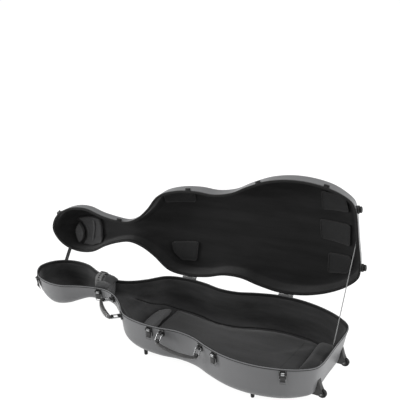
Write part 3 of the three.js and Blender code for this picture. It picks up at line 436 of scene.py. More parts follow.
@dataclass(frozen=True)
class Plan:
    """Outline and widths of the case, in millimetres and shares of them."""

    length: float = 1350
    end_flat: float = 254
    lower: float = 490
    waist: float = 352
    upper: float = 385
    neck: float = 92
    scroll: float = 206
    steps: int = 24

    def corners(self) -> Array:
        """Half outline as (share of the length, width, share of half that width) rows turned into points."""
        e, lo, wa, up, ne, sc = self.end_flat, self.lower, self.waist, self.upper, self.neck, self.scroll
        rows = [
            (0, e, 0), (0.0015, e, 0.99), (0.0105, lo, 0.64), (0.044, lo, 0.785), (0.104, lo, 0.92),
            (0.178, lo, 0.99), (0.252, lo, 0.968), (0.318, lo, 0.862), (0.37, wa, 1.045), (0.425, wa, 1),
            (0.482, up, 0.978), (0.548, up, 0.975), (0.607, up, 0.86), (0.652, up, 0.54), (0.689, ne, 1.42),
            (0.7285, ne, 1), (0.771, ne, 1.14), (0.815, sc, 0.68), (0.867, sc, 0.97), (0.9185, sc, 0.985),
            (0.963, sc, 0.765), (0.989, sc, 0.42), (1, sc, 0),
        ]
        return np.array([(-at * self.length, width / 2 * share) for at, width, share in rows])


class Outline:
    """Closed centripetal spline through the plan's corners, as dense points with outward normals."""

    def __init__(self, plan: Plan) -> None:
        """Samples the spline; a point's normal is its tangent turned a quarter turn outwards."""
        half = plan.corners()
        mirrored = half[1:-1][::-1] * (1, -1)
        self._knots = np.vstack([half, mirrored])
        self.plan = plan
        count = len(self._knots) * plan.steps
        t = np.arange(count) / count
        self.points = self._at(t)
        tangent = self._at((t + 1e-4) % 1) - self._at((t - 1e-4) % 1)
        tangent /= np.linalg.norm(tangent, axis=1)[:, None]
        self.normals = np.stack([tangent[:, 1], -tangent[:, 0]], 1)

    def _at(self, t: Array) -> Array:
        """Spline points: each span is a cubic with chord roots as its knot steps."""
        knots, count = self._knots, len(self._knots)
        place = t * count
        k = np.floor(place).astype(int)
        w = (place - k)[:, None]
        a, b, c, d = (knots[(k + s) % count] for s in (-1, 0, 1, 2))
        da, db, dc = (np.sqrt(np.linalg.norm(q - p, axis=1))[:, None] for p, q in ((a, b), (b, c), (c, d)))
        first = ((b - a) / da - (c - a) / (da + db) + (c - b) / db) * db
        second = ((c - b) / db - (d - b) / (db + dc) + (d - c) / dc) * db
        bend, twist = 3 * (c - b) - 2 * first - second, 2 * (b - c) + first + second
        return b + first * w + bend * w**2 + twist * w**3

    def wall_point(self, share: float, side: int) -> tuple[Array, Array]:
        """First dense point past a share of the length, on the side of +y or -y, and its normal."""
        half = len(self.points) // 2 + 1
        k = int(np.argmax(self.points[:half, 0] <= -share * self.plan.length))
        flip = np.array([1, side])
        return self.points[k] * flip, self.normals[k] * flip

    def half_width(self, x: Array) -> Array:
        """Half width of the case at places along it."""
        half = len(self.points) // 2 + 1
        return np.interp(-np.asarray(x, float), -self.points[:half, 0], self.points[:half, 1])


def eased(table: Sequence[Sequence[float]], share: Array) -> Array:
    """Smooth value of a table: a cubic between rows, each slope the harmonic mean of the runs beside it."""
    rows = np.asarray(table, float)
    x, y = rows[:, 0], rows[:, 1]
    step, run = np.diff(x), np.diff(y) / np.diff(x)
    slope = np.concatenate([[run[0]], np.zeros(len(x) - 2), [run[-1]]])
    alike = run[:-1] * run[1:] > 0
    slope[1:-1][alike] = 2 * run[:-1][alike] * run[1:][alike] / (run[:-1][alike] + run[1:][alike])
    at = np.clip(np.asarray(share, float), x[0], x[-1])
    k = np.clip(np.searchsorted(x, at) - 1, 0, len(step) - 1)
    h, t = step[k], (at - x[k]) / step[k]
    rise = y[k] * (1 + 2 * t) * (1 - t) ** 2 + y[k + 1] * t * t * (3 - 2 * t)
    return rise + h * slope[k] * t * (1 - t) ** 2 + h * slope[k + 1] * t * t * (t - 1)


@dataclass
class Half:
    """One moulded half: walls that lean in, a rounded edge and a crowned back."""

    outline: Outline
    up: int
    depth: float
    depths: list
    edges: list
    drafts: list
    crown: float
    rim: float
    lining_rim: float
    spine_start: float = 170
    spine_end: float = 100
    thin: int = 2

    def _ring(self) -> tuple[Array, Array, Array, Array, Array]:
        """Outline points, normals, and the depth, edge radius and draft at each."""
        p, n = self.outline.points[:: self.thin], self.outline.normals[:: self.thin]
        return p, n, *self.profile(p[:, 0])

    def profile(self, x: Array) -> tuple[Array, Array, Array]:
        """Depth, edge radius and draft at places along the case."""
        share = -np.asarray(x) / self.outline.plan.length
        return self.depth * eased(self.depths, share), eased(self.edges, share), eased(self.drafts, share)

    def _raise(self, p: Array, n: Array, inset: Array, height: Array) -> Array:
        """Outline points moved inwards by inset and away from the rims by height."""
        return np.column_stack([p - n * np.broadcast_to(inset, len(p))[:, None],
                                self.up * np.broadcast_to(height, len(p))])

    def wall(self, skin: float, height: float) -> Array:
        """Ring round the wall at a height from the rims, skin inside the outer surface."""
        p, n, depth, edge, draft = self._ring()
        return self._raise(p, n, skin + draft / (depth - edge) * max(height, 0), height)

    def walls(self, skin: float, start: float, count: int) -> list[Array]:
        """Rings that share out the wall from a height to the start of the rounded edge."""
        p, n, depth, edge, draft = self._ring()
        shares = np.linspace(0, 1, count + 1)[:-1]
        rows = [start + (depth - edge - start) * s for s in shares]
        return [self._raise(p, n, skin + draft / (depth - edge) * row, row) for row in rows]

    def edge(self, skin: float, angle: float) -> Array:
        """Ring on the rounded edge: a quarter circle of the edge radius less the skin."""
        p, n, depth, edge, draft = self._ring()
        radius = edge - skin
        inset, height = draft + edge - radius * math.cos(angle), depth - edge + radius * math.sin(angle)
        return self._raise(p, n, inset, height)

    def spine(self, x: Array, skin: float) -> Array:
        """Points of the back's middle line, which ends short of the case's ends."""
        clear = np.clip(x, self.spine_end - self.outline.plan.length, -self.spine_start)
        rise = self.crown * self.outline.half_width(clear) / (self.outline.plan.lower / 2)
        height = self.profile(clear)[0] + rise - skin
        return np.column_stack([clear, np.zeros(len(clear)), self.up * height])

    def back(self, skin: float, share: float) -> Array:
        """Ring on the back, share of the way from the edge to the spine; the crown rises as s (2 - s)."""
        ring = self.edge(skin, math.pi / 2)
        spine = self.spine(ring[:, 0], skin)
        rise = ring[:, 2] + (spine[:, 2] - ring[:, 2]) * share * (2 - share)
        out = ring + (spine - ring) * share
        out[:, 2] = rise
        return out

    def rings(self, skin: float, edges: int, backs: Sequence[float]) -> list[Array]:
        """Rings over the edge and the back, from the wall to the spine."""
        turn = [self.edge(skin, math.pi / 2 * k / edges) for k in range(edges + 1)]
        return turn + [self.back(skin, s) for s in backs]

    def height_at(self, skin: float, plan: Array) -> Array:
        """Height of the half's surface over points in plan.

        The nearest outline point gives the inset from the wall; the inset then lies on the wall, on the
        quarter circle of the edge or on the crowned back.

        Args:
            skin: how far inside the outer surface.
            plan: (n, 2) points.

        Returns:
            Signed z of the surface.
        """
        p, n, depth, edge, draft = self._ring()
        away = plan[:, None, :] - p[None, :, :]
        k = np.argmin((away**2).sum(2), axis=1)
        inset = -(away[np.arange(len(plan)), k] * n[k]).sum(1)
        depth, edge, draft = depth[k], edge[k], draft[k]
        radius = np.maximum(edge - skin, 1)
        cosine = np.clip((draft + edge - inset) / radius, 0, 1)
        on_edge = depth - edge + radius * np.sqrt(1 - cosine**2)
        spine = self.spine(plan[:, 0], skin)
        reach = np.linalg.norm(p[k] - spine[:, :2], axis=1) - draft - edge
        share = np.clip((inset - draft - edge) / np.maximum(reach, 1), 0, 1)
        crown = (np.abs(spine[:, 2]) - (depth - skin)) * share * (2 - share)
        on_wall = (inset - skin) * (depth - edge) / np.maximum(draft, 1e-3)
        height = np.where(inset < draft + skin, np.minimum(on_wall, depth - edge), on_edge + crown)
        return self.up * height


@dataclass
class CaseSpace:
    """Places the case's millimetres in the row's metres, and knows the lid's hinge and both halves."""

    outline: Outline = field(default_factory=lambda: Outline(Plan()))
    open_angle: float = math.radians(92.7)

    def __post_init__(self) -> None:
        """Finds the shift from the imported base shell, the hinge from its joint, and sets up the halves."""
        low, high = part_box("base_shell")
        outermost = self.outline.points[:, 0].max()
        self.shift = np.array([high.x / MM - outermost, (low.y + high.y) / 2 / MM, high.z / MM])
        hinge = next(j for j in frame["joints"] if j["name"] == "lid_hinge")
        at, axis = Vector(hinge["pos_m"]), Vector(hinge["axis"])
        turn = Matrix.Rotation(self.open_angle, 4, axis)
        self.lid_matrix = np.array(Matrix.Translation(at) @ turn @ Matrix.Translation(-at))
        self.hinge_point, self.hinge_axis = np.array(at) / MM - self.shift, np.array(axis)
        self.base = Half(
            self.outline, up=-1, depth=157,
            depths=[[0, 0.9], [0.11, 0.985], [0.22, 1], [0.42, 0.985], [0.555, 0.94], [0.63, 0.79],
                    [0.705, 0.44], [0.778, 0.42], [0.852, 0.68], [0.911, 0.76], [0.963, 0.66], [1, 0.54]],
            edges=[[0, 24], [0.012, 24], [0.08, 45], [0.59, 45], [0.7, 25], [0.76, 25], [0.88, 54],
                   [0.95, 54], [1, 36]],
            drafts=[[0, 24], [0.011, 24], [0.08, 8], [1, 8]], crown=8, rim=0, lining_rim=11.3)
        self.lid = Half(
            self.outline, up=1, depth=97,
            depths=[[0, 0.89], [0.11, 0.97], [0.22, 1], [0.44, 1], [0.555, 1], [0.645, 0.89], [0.73, 0.68],
                    [0.815, 0.76], [0.89, 0.87], [0.963, 0.79], [1, 0.67]],
            edges=[[0, 34], [0.59, 34], [0.7, 25], [0.76, 25], [0.88, 50], [0.95, 50], [1, 40]],
            drafts=[[0, 10], [0.011, 10], [0.08, 4], [1, 4]], crown=18, rim=7.6, lining_rim=7.9)

    def row(self, points: Array, on_lid: bool = False) -> Array:
        """Case millimetres as metres of the row, opened with the lid where asked."""
        out = (np.asarray(points, float) + self.shift) * MM
        if on_lid:
            out = out @ self.lid_matrix[:3, :3].T + self.lid_matrix[:3, 3]
        return out

    def case(self, points: Array) -> Array:
        """Metres of the row as case millimetres, for pieces of the base."""
        return points / MM - self.shift

    def wall_frame(self, half: Half, share: float, side: int, height: float) -> Array:
        """4x4 frame on the outer wall in case millimetres: x along the rim, y out of the wall, z up it."""
        (px, py), (nx, ny) = self.outline.wall_point(share, side)
        depth, edge, draft = (float(v[0]) for v in half.profile(np.array([px])))
        lean = draft / (depth - edge)
        out = np.array([nx, ny, 0.0])
        up = np.array([0, 0, 1.0]) - half.up * lean * out
        origin = np.array([px, py, half.up * height]) - lean * height * out
        return framed(origin, np.cross(out, up), up)

    def add(self, name: str, part: tuple, body: str, material: Material, slot: Slot,
            nodes: Sequence[str] = (), crease: float = 38) -> Piece:
        """Makes a piece from a surface in case millimetres, opened where it rides on the lid.

        Args:
            name: the piece's name.
            part: its vertices, its faces and, where a weave follows it, its UV in metres.
            body: the body that carries it.
            material: its finish.
            slot: the record's slot for the finish; not used.
            nodes: the CAD nodes that it stands for.
            crease: edges that turn by more degrees than this stay sharp.

        Returns:
            The finished object.
        """
        verts, faces, *uv = part
        obj = weld(put_mesh(name, self.row(verts, body is Body.LID), faces, *uv), crease=crease)
        return settle(obj, body, material, nodes)


def through(matrix: Array, points: Array) -> Array:
    """Points taken through a 4x4 matrix."""
    return np.asarray(points, float) @ matrix[:3, :3].T + matrix[:3, 3]


def loft(rings: Array, closed_rows: bool = False, capped: bool = False) -> Surface:
    """Surface through rings of points.

    Args:
        rings: (rows, columns, 3) points; the columns close on themselves.
        closed_rows: whether the last ring joins the first.
        capped: whether each end is closed by a fan to its middle.

    Returns:
        The vertices, and the faces as arrays of quads and triangles.
    """
    rings = np.asarray(rings, float)
    rows, columns = rings.shape[:2]
    r, c = np.meshgrid(np.arange(rows if closed_rows else rows - 1), np.arange(columns), indexing="ij")
    across, down = (c + 1) % columns, (r + 1) % rows
    quads = np.stack([r * columns + c, r * columns + across, down * columns + across, down * columns + c], -1)
    verts, faces = rings.reshape(-1, 3), [quads.reshape(-1, 4)]
    if capped:
        k = np.arange(columns)
        tops = [rings[0].mean(0), rings[-1].mean(0)]
        verts = np.vstack([verts, tops])
        first, last = rows * columns, (rows - 1) * columns
        faces.append(np.stack([(k + 1) % columns, k, np.full(columns, first)], -1))
        faces.append(np.stack([last + k, last + (k + 1) % columns, np.full(columns, first + 1)], -1))
    return verts, faces


def solid_volume(verts: Array, faces: list[Array]) -> float:
    """Signed volume inside a closed surface: the sum of its tetrahedra to the middle."""
    total, middle = 0.0, verts.mean(0)
    for group in faces:
        for k in range(1, group.shape[1] - 1):
            a, b, c = (verts[group[:, j]] - middle for j in (0, k, k + 1))
            total += float((a * np.cross(b, c)).sum())
    return total


def put_mesh(name: str, verts: Array, faces: list[Array], uv: Array | None = None) -> Piece:
    """Makes an object from whole arrays, its faces turned outwards.

    Args:
        name: the piece's name.
        verts: (n, 3) points in metres.
        faces: arrays of quads and triangles.
        uv: one (u, v) in metres for each vertex, where a weave follows the surface.

    Returns:
        The object, at the origin.
    """
    if solid_volume(verts, faces) < 0:
        faces = [group[:, ::-1] for group in faces]
    counts = np.concatenate([np.full(len(g), g.shape[1]) for g in faces])
    loops = np.concatenate([g.ravel() for g in faces]).astype(np.int32)
    mesh = bpy.data.meshes.new(name)
    mesh.vertices.add(len(verts))
    mesh.vertices.foreach_set("co", verts.astype(np.float32).ravel())
    mesh.loops.add(len(loops))
    mesh.loops.foreach_set("vertex_index", loops)
    mesh.polygons.add(len(counts))
    mesh.polygons.foreach_set("loop_start", np.concatenate([[0], np.cumsum(counts)[:-1]]).astype(np.int32))
    mesh.update(calc_edges=True)
    if uv is not None:
        mesh.uv_layers.new(name="UVMap").data.foreach_set("uv", uv[loops].astype(np.float32).ravel())
    mesh.validate()
    obj = bpy.data.objects.new(name, mesh)
    bpy.context.scene.collection.objects.link(obj)
    return obj


@contextmanager
def cage_of(obj: Piece) -> Iterator[bmesh.types.BMesh]:
    """Opens an object's mesh for editing and writes it back."""
    cage = bmesh.new()
    cage.from_mesh(obj.data)
    yield cage
    cage.to_mesh(obj.data)
    cage.free()


def shade(cage: bmesh.types.BMesh, crease: float) -> None:
    """Smooth faces, with sharp edges where two of them meet at more than crease degrees."""
    for one in cage.faces:
        one.smooth = True
    for edge in cage.edges:
        edge.smooth = len(edge.link_faces) == 2 and edge.calc_face_angle(0) < math.radians(crease)


def weld(obj: Piece, distance: float = 2e-5, crease: float = 38) -> Piece:
    """Merges doubled vertices, drops flat faces, and shades the rest up to a crease in degrees."""
    with cage_of(obj) as cage:
        bmesh.ops.remove_doubles(cage, verts=cage.verts, dist=distance)
        bmesh.ops.dissolve_degenerate(cage, edges=cage.edges, dist=distance / 2)
        shade(cage, crease)
    return obj


def points_of(obj: Piece) -> Array:
    """An object's vertices, in metres."""
    flat = np.zeros(len(obj.data.vertices) * 3, np.float32)
    obj.data.vertices.foreach_get("co", flat)
    return flat.reshape(-1, 3).astype(float)


def set_points(obj: Piece, points: Array) -> None:
    """Moves an object's vertices to points in metres."""
    obj.data.vertices.foreach_set("co", points.astype(np.float32).ravel())
    obj.data.update()


def copy_of(node: str, name: str) -> Piece:
    """Object with a copy of a CAD node's mesh."""
    obj = bpy.data.objects.new(name, frame["nodes"][node].data.copy())
    bpy.context.scene.collection.objects.link(obj)
    return obj


def settle(obj: Piece, body: str, material: Material, nodes: Sequence[str] = ()) -> Piece:
    """Dresses a piece, puts it on its body and lets it stand for CAD nodes."""
    obj.data.materials.clear()
    obj.data.materials.append(material)
    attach(obj, str(body.value if isinstance(body, Enum) else body))
    if nodes:
        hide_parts(*nodes)
    LOG.info("%s on %s, %d faces", obj.name, body, len(obj.data.polygons))
    return obj


def bevelled(node: str, name: str, width: float, segments: int = 2, flat: float = 3,
             sharp: float = 32) -> Piece:
    """Copy of a CAD node with its facets merged and its sharp edges rounded.

    Args:
        node: the CAD node.
        name: the piece's name.
        width: how far the rounding reaches on each side of an edge, in millimetres.
        segments: faces across the rounding.
        flat: facets that turn by fewer degrees than this are merged.
        sharp: edges that turn by more degrees than this are rounded.

    Returns:
        The object.
    """
    obj = copy_of(node, name)
    with cage_of(obj) as cage:
        bmesh.ops.remove_doubles(cage, verts=cage.verts, dist=1e-5)
        bmesh.ops.dissolve_limit(cage, angle_limit=math.radians(flat), verts=cage.verts, edges=cage.edges)
        limit = math.radians(sharp)
        picked = [e for e in cage.edges if len(e.link_faces) == 2 and e.calc_face_angle(0) > limit]
        bmesh.ops.bevel(cage, geom=picked, offset=width * MM, offset_type="OFFSET", segments=segments,
                        profile=0.5, affect="EDGES", clamp_overlap=True)
        bmesh.ops.remove_doubles(cage, verts=cage.verts, dist=1e-6)
        bmesh.ops.triangulate(cage, faces=[f for f in cage.faces if len(f.verts) > 4])
        shade(cage, 30)
    return obj


def ring_of(sides: int, power: float = 1) -> Array:
    """Unit ring of (n, 2) points: a circle, squarer as the power of its cosine and sine falls below 1."""
    angle = np.arange(sides) / sides * TAU
    circle = np.stack([np.cos(angle), np.sin(angle)], 1)
    return np.sign(circle) * np.abs(circle) ** power


def lathe(profile: Sequence[Sequence[float]], matrix: Array, sides: int = 40,
          hollow: bool = False) -> Surface:
    """Profile of (height, radius) rows turned about z and taken through a matrix.

    Args:
        profile: the rows, in order along the skin.
        matrix: 4x4 frame of the turned piece.
        sides: points round it.
        hollow: whether the last row joins the first; otherwise both ends are closed.

    Returns:
        The surface.
    """
    rows = np.asarray(profile, float)
    points = np.concatenate([rows[:, None, 1:] * ring_of(sides), np.repeat(rows[:, None, :1], sides, 1)], 2)
    return moved(matrix, loft(points, closed_rows=hollow, capped=not hollow))


def tube(path: Array, radius: float | Array, sides: int = 10, closed: bool = False) -> Surface:
    """Round tube along a path: at each point a circle in the plane square to the path's run."""
    path = np.asarray(path, float)
    run = np.roll(path, -1, 0) - np.roll(path, 1, 0) if closed else np.gradient(path, axis=0)
    run /= np.maximum(np.linalg.norm(run, axis=1), 1e-9)[:, None]
    side = np.cross(run, np.eye(3)[int(np.argmin(np.abs(run).sum(0)))])
    side /= np.maximum(np.linalg.norm(side, axis=1), 1e-9)[:, None]
    over = np.cross(run, side)
    cosine, sine = ring_of(sides).T[..., None]
    reach = np.broadcast_to(radius, len(path))[:, None, None]
    rings = path[:, None] + reach * (side[:, None] * cosine + over[:, None] * sine)
    return loft(rings, closed_rows=closed, capped=not closed)


def rounded_path(points: Array, radius: float, count: int = 6, closed: bool = False) -> Array:
    """Points with each corner replaced by a curve that starts and ends radius away from it."""
    points = np.asarray(points, float)
    out = [] if closed else [points[:1]]
    t = np.linspace(0, 1, count)[:, None]
    for k in range(len(points)) if closed else range(1, len(points) - 1):
        before, here, after = points[k - 1], points[k], points[(k + 1) % len(points)]
        back = here + (before - here) / np.linalg.norm(before - here) * radius
        ahead = here + (after - here) / np.linalg.norm(after - here) * radius
        out.append((1 - t) ** 2 * back + 2 * t * (1 - t) * here + t * t * ahead)
    if not closed:
        out.append(points[-1:])
    return np.vstack(out)


def respaced(path: Array, count: int, closed: bool = False) -> Array:
    """Path of count points at equal steps along the given one."""
    path = np.vstack([path, path[:1]]) if closed else np.asarray(path, float)
    walked = np.concatenate([[0], np.cumsum(np.linalg.norm(np.diff(path, axis=0), axis=1))])
    at = np.linspace(0, walked[-1], count + 1)[:-1] if closed else np.linspace(0, walked[-1], count)
    return np.stack([np.interp(at, walked, path[:, k]) for k in range(path.shape[1])], 1)


def ribbon(path: Array, sides: Array, width: float, thickness: float) -> tuple[Array, list[Array], Array]:
    """Flat tape along a path with rounded edges, and its UV in metres: across it and along it.

    Args:
        path: (n, 3) middle line.
        sides: (n, 3) or (3,) directions of its width.
        width: its width in millimetres.
        thickness: its thickness in millimetres.

    Returns:
        Vertices, faces and UV.
    """
    path = np.asarray(path, float)
    side = np.broadcast_to(sides, path.shape)
    side = side / np.linalg.norm(side, axis=1)[:, None]
    through_it = np.cross(np.gradient(path, axis=0), side)
    through_it /= np.linalg.norm(through_it, axis=1)[:, None]
    half, t = width / 2, thickness / 2
    section = np.array([[-half + t, -t], [-half / 2, -t], [0, -t], [half / 2, -t], [half - t, -t], [half, 0],
                        [half - t, t], [half / 2, t], [0, t], [-half / 2, t], [-half + t, t], [-half, 0]])
    rings = path[:, None] + side[:, None] * section[None, :, :1] + through_it[:, None] * section[None, :, 1:]
    verts, faces = loft(rings, capped=True)
    walked = np.concatenate([[0], np.cumsum(np.linalg.norm(np.diff(path, axis=0), axis=1))])
    u, v = np.broadcast_to(section[:, 0], rings.shape[:2]), np.broadcast_to(walked[:, None], rings.shape[:2])
    uv = np.vstack([np.stack([u, v], -1).reshape(-1, 2), [[0, 0], [0, walked[-1]]]]) * MM
    return verts, faces, uv


def framed(origin: Sequence[float], side: Sequence[float], out: Sequence[float]) -> Array:
    """4x4 frame at a point: z along out, x along the part of side that is square to it."""
    out = np.asarray(out, float) / np.linalg.norm(out)
    side = np.asarray(side, float) - np.dot(side, out) * out
    side /= np.linalg.norm(side)
    matrix = np.eye(4)
    matrix[:3, :3], matrix[:3, 3] = np.column_stack([side, np.cross(out, side), out]), origin
    return matrix


def plate(wide: float, tall: float, rows: Sequence[tuple[float, float]], power: float,
          sides: int = 36) -> Surface:
    """Superellipse plate over the xy plane: rings at (height, share of its size) rows, closed at its ends."""
    outline = ring_of(sides, power) * (wide / 2, tall / 2)
    rings = [np.column_stack([outline * share, np.full(sides, height)]) for height, share in rows]
    return loft(np.stack(rings), capped=True)


def moved(matrix: Array, part: Surface) -> Surface:
    """A surface taken through a 4x4 matrix."""
    return through(matrix, part[0]), part[1]


def merged(parts: Sequence[Surface]) -> Surface:
    """Several closed surfaces as one list of vertices and faces, each turned outwards."""
    verts, faces, start = [], [], 0
    for points, groups in parts:
        sign = 1 if solid_volume(points, groups) >= 0 else -1
        verts.append(points)
        faces.extend(start + group[:, ::sign] for group in groups)
        start += len(points)
    return np.vstack(verts), faces


@dataclass
class Shells:
    """The two moulded shells with softly rounded rims, and the lid's three side bumpers."""

    space: CaseSpace
    finishes: Finishes
    wall: float = 3
    lip: float = 0.9
    bumper_shares: tuple = (0.158, 0.484, 0.915)
    bumper_size: tuple = (26, 15, 9)
    bumper_drop: float = 24

    def surface(self, half: Half) -> Array:
        """Rings of a closed shell: up the outside to the rim, over its rounded lip and down the inside."""
        backs = (0.08, 0.18, 0.3, 0.44, 0.6, 0.78, 1)
        outside = half.rings(0, 9, backs)[::-1] + half.walls(0, half.rim + self.lip, 6)[::-1]
        rim = [half.wall(self.lip * 0.3, half.rim + self.lip * 0.3), half.wall(self.lip, half.rim),
               half.wall(self.wall - self.lip, half.rim), half.wall(self.wall, half.rim + self.lip)]
        inside = half.walls(self.wall, half.rim + 4, 2) + half.rings(self.wall, 4, (0.3, 1))
        return np.stack(outside + rim + inside)

    def bumper(self, share: float) -> Surface:
        """Pillow-shaped bumper: a superellipse plan that shrinks as a quarter circle towards its top."""
        long, tall, out = self.bumper_size
        wall = self.space.wall_frame(self.space.lid, share, 1, self.bumper_drop)
        rows = [(-1.6, 1.0), (0, 1.0), (out * 0.55, 0.97), (out * 0.8, 0.88), (out * 0.95, 0.7), (out, 0.4)]
        return moved(framed(wall[:3, 3], wall[:3, 0], wall[:3, 1]), plate(long, tall, rows, 0.55))

    def build(self) -> None:
        """Builds both shells and the bumpers."""
        for half, body in ((self.space.base, Body.BASE), (self.space.lid, Body.LID)):
            self.space.add(f"{body.value}_moulding", loft(self.surface(half)), body, self.finishes.shell,
                           Slot.SHELL, [f"{body.value}_shell"], crease=40)
        for share, where in zip(self.bumper_shares, ("lower_bout", "upper_bout", "scroll")):
            self.space.add(f"side_bumper_{where}", self.bumper(share), Body.LID, self.finishes.rubber,
                           Slot.RUBBER)


@dataclass
class RimTrims:
    """Rubber seal round the lid, the ribbed band just inside the base's rim and the thin black bead outside
    it, a painted line of shade below the rim.
    """

    space: CaseSpace
    finishes: Finishes
    bead: float = 1.3
    bead_out: float = 0.2
    bead_height: float = 5.5

    def ring(self, half: Half, section: Array | Sequence[tuple[float, float]]) -> Surface:
        """Closed surface of a (skin, height) section carried round the rim."""
        return loft(np.stack([half.wall(skin, height) for skin, height in section]), closed_rows=True)

    def build(self) -> None:
        """Builds the trims of both rims."""
        seal = [(0.0, 6.6), (0.2, 1.6), (0.9, 0.5), (2.2, 0.3), (4.2, 0.3), (4.8, 1.1), (5.4, 1.1),
                (6.0, 0.3), (8.6, 0.4), (9.7, 1.2), (10.0, 3.4), (9.8, 6.2), (9.0, 7.0), (0.6, 7.0)]
        band = [(3.3, 10.8), (3.3, 1.2), (3.9, 0.5), (5.0, 0.3), (6.3, 0.5), (7.1, 1.2), (7.3, 2.6),
                (7.0, 4.0), (7.3, 5.4), (7.0, 6.8), (7.3, 8.4), (7.2, 10.2), (6.6, 11.0), (3.8, 11.0)]
        # Black bead just below the rim outside: a painted line of shade.
        bead = ring_of(10) * self.bead + (-self.bead_out, self.bead_height)
        for name, half, section, body, nodes in (
                ("lid_seal", self.space.lid, seal, Body.LID, ["lid_rim_seal"]),
                ("base_rim_trim", self.space.base, band, Body.BASE, ["base_rim_band"]),
                ("base_rim_shade_bead", self.space.base, bead, Body.BASE, [])):
            self.space.add(name, self.ring(half, section), body, self.finishes.trim, Slot.RUBBER, nodes)


@dataclass
class Linings:
    """Fleece over thin foam inside both halves, with a soft wave in the cloth and a rolled upper edge."""

    space: CaseSpace
    finishes: Finishes
    outer: float = 3.6
    inner: float = 7.6
    roll: float = 1.2
    wave: float = 0.7

    def surface(self, half: Half) -> Array:
        """Rings of a closed lining; the shown side wanders by a millimetre, less near its upper edge."""
        start = half.lining_rim
        outside = half.rings(self.outer, 4, (0.3, 1))[::-1] + [half.wall(self.outer, start + self.roll)]
        top = [half.wall(self.outer + self.roll * 0.4, start + 0.2),
               half.wall(self.inner - self.roll * 1.4, start),
               half.wall(self.inner - self.roll * 0.4, start + self.roll * 0.35)]
        shown = half.walls(self.inner, start + self.roll * 1.4, 9)
        shown += half.rings(self.inner, 8, (0.05, 0.12, 0.2, 0.3, 0.42, 0.56, 0.76, 1))
        shown = np.stack(shown)
        reach = np.clip((np.abs(shown[..., 2]) - start) / 25, 0, 1) * self.wave
        x, y, z = np.moveaxis(shown, -1, 0)
        ripple = np.sin(x / 31 + np.sin(y / 47)) * np.sin(z / 17 + x / 83)
        ripple += 0.6 * np.sin(y / 23 + x / 57 + z / 29)
        aside = -np.sign(y) * np.minimum(np.abs(y) / 40, 1)
        inward = np.stack([np.zeros_like(x), aside, np.full_like(x, -half.up * 0.6)], -1)
        inward /= np.linalg.norm(inward, axis=-1)[..., None]
        shown = shown + inward * ((ripple * 0.5 + 0.5) * reach)[..., None]
        shown[-1, :, 1] = 0
        return np.concatenate([np.stack(outside + top), shown])

    def build(self) -> None:
        """Builds both linings."""
        for half, body, cloth in ((self.space.base, Body.BASE, self.finishes.fleece),
                                  (self.space.lid, Body.LID, self.finishes.lid_fleece)):
            obj = self.space.add(f"{body.value}_fleece", loft(self.surface(half)), body, cloth, Slot.FLEECE,
                                 [f"{body.value}_lining"], crease=60)


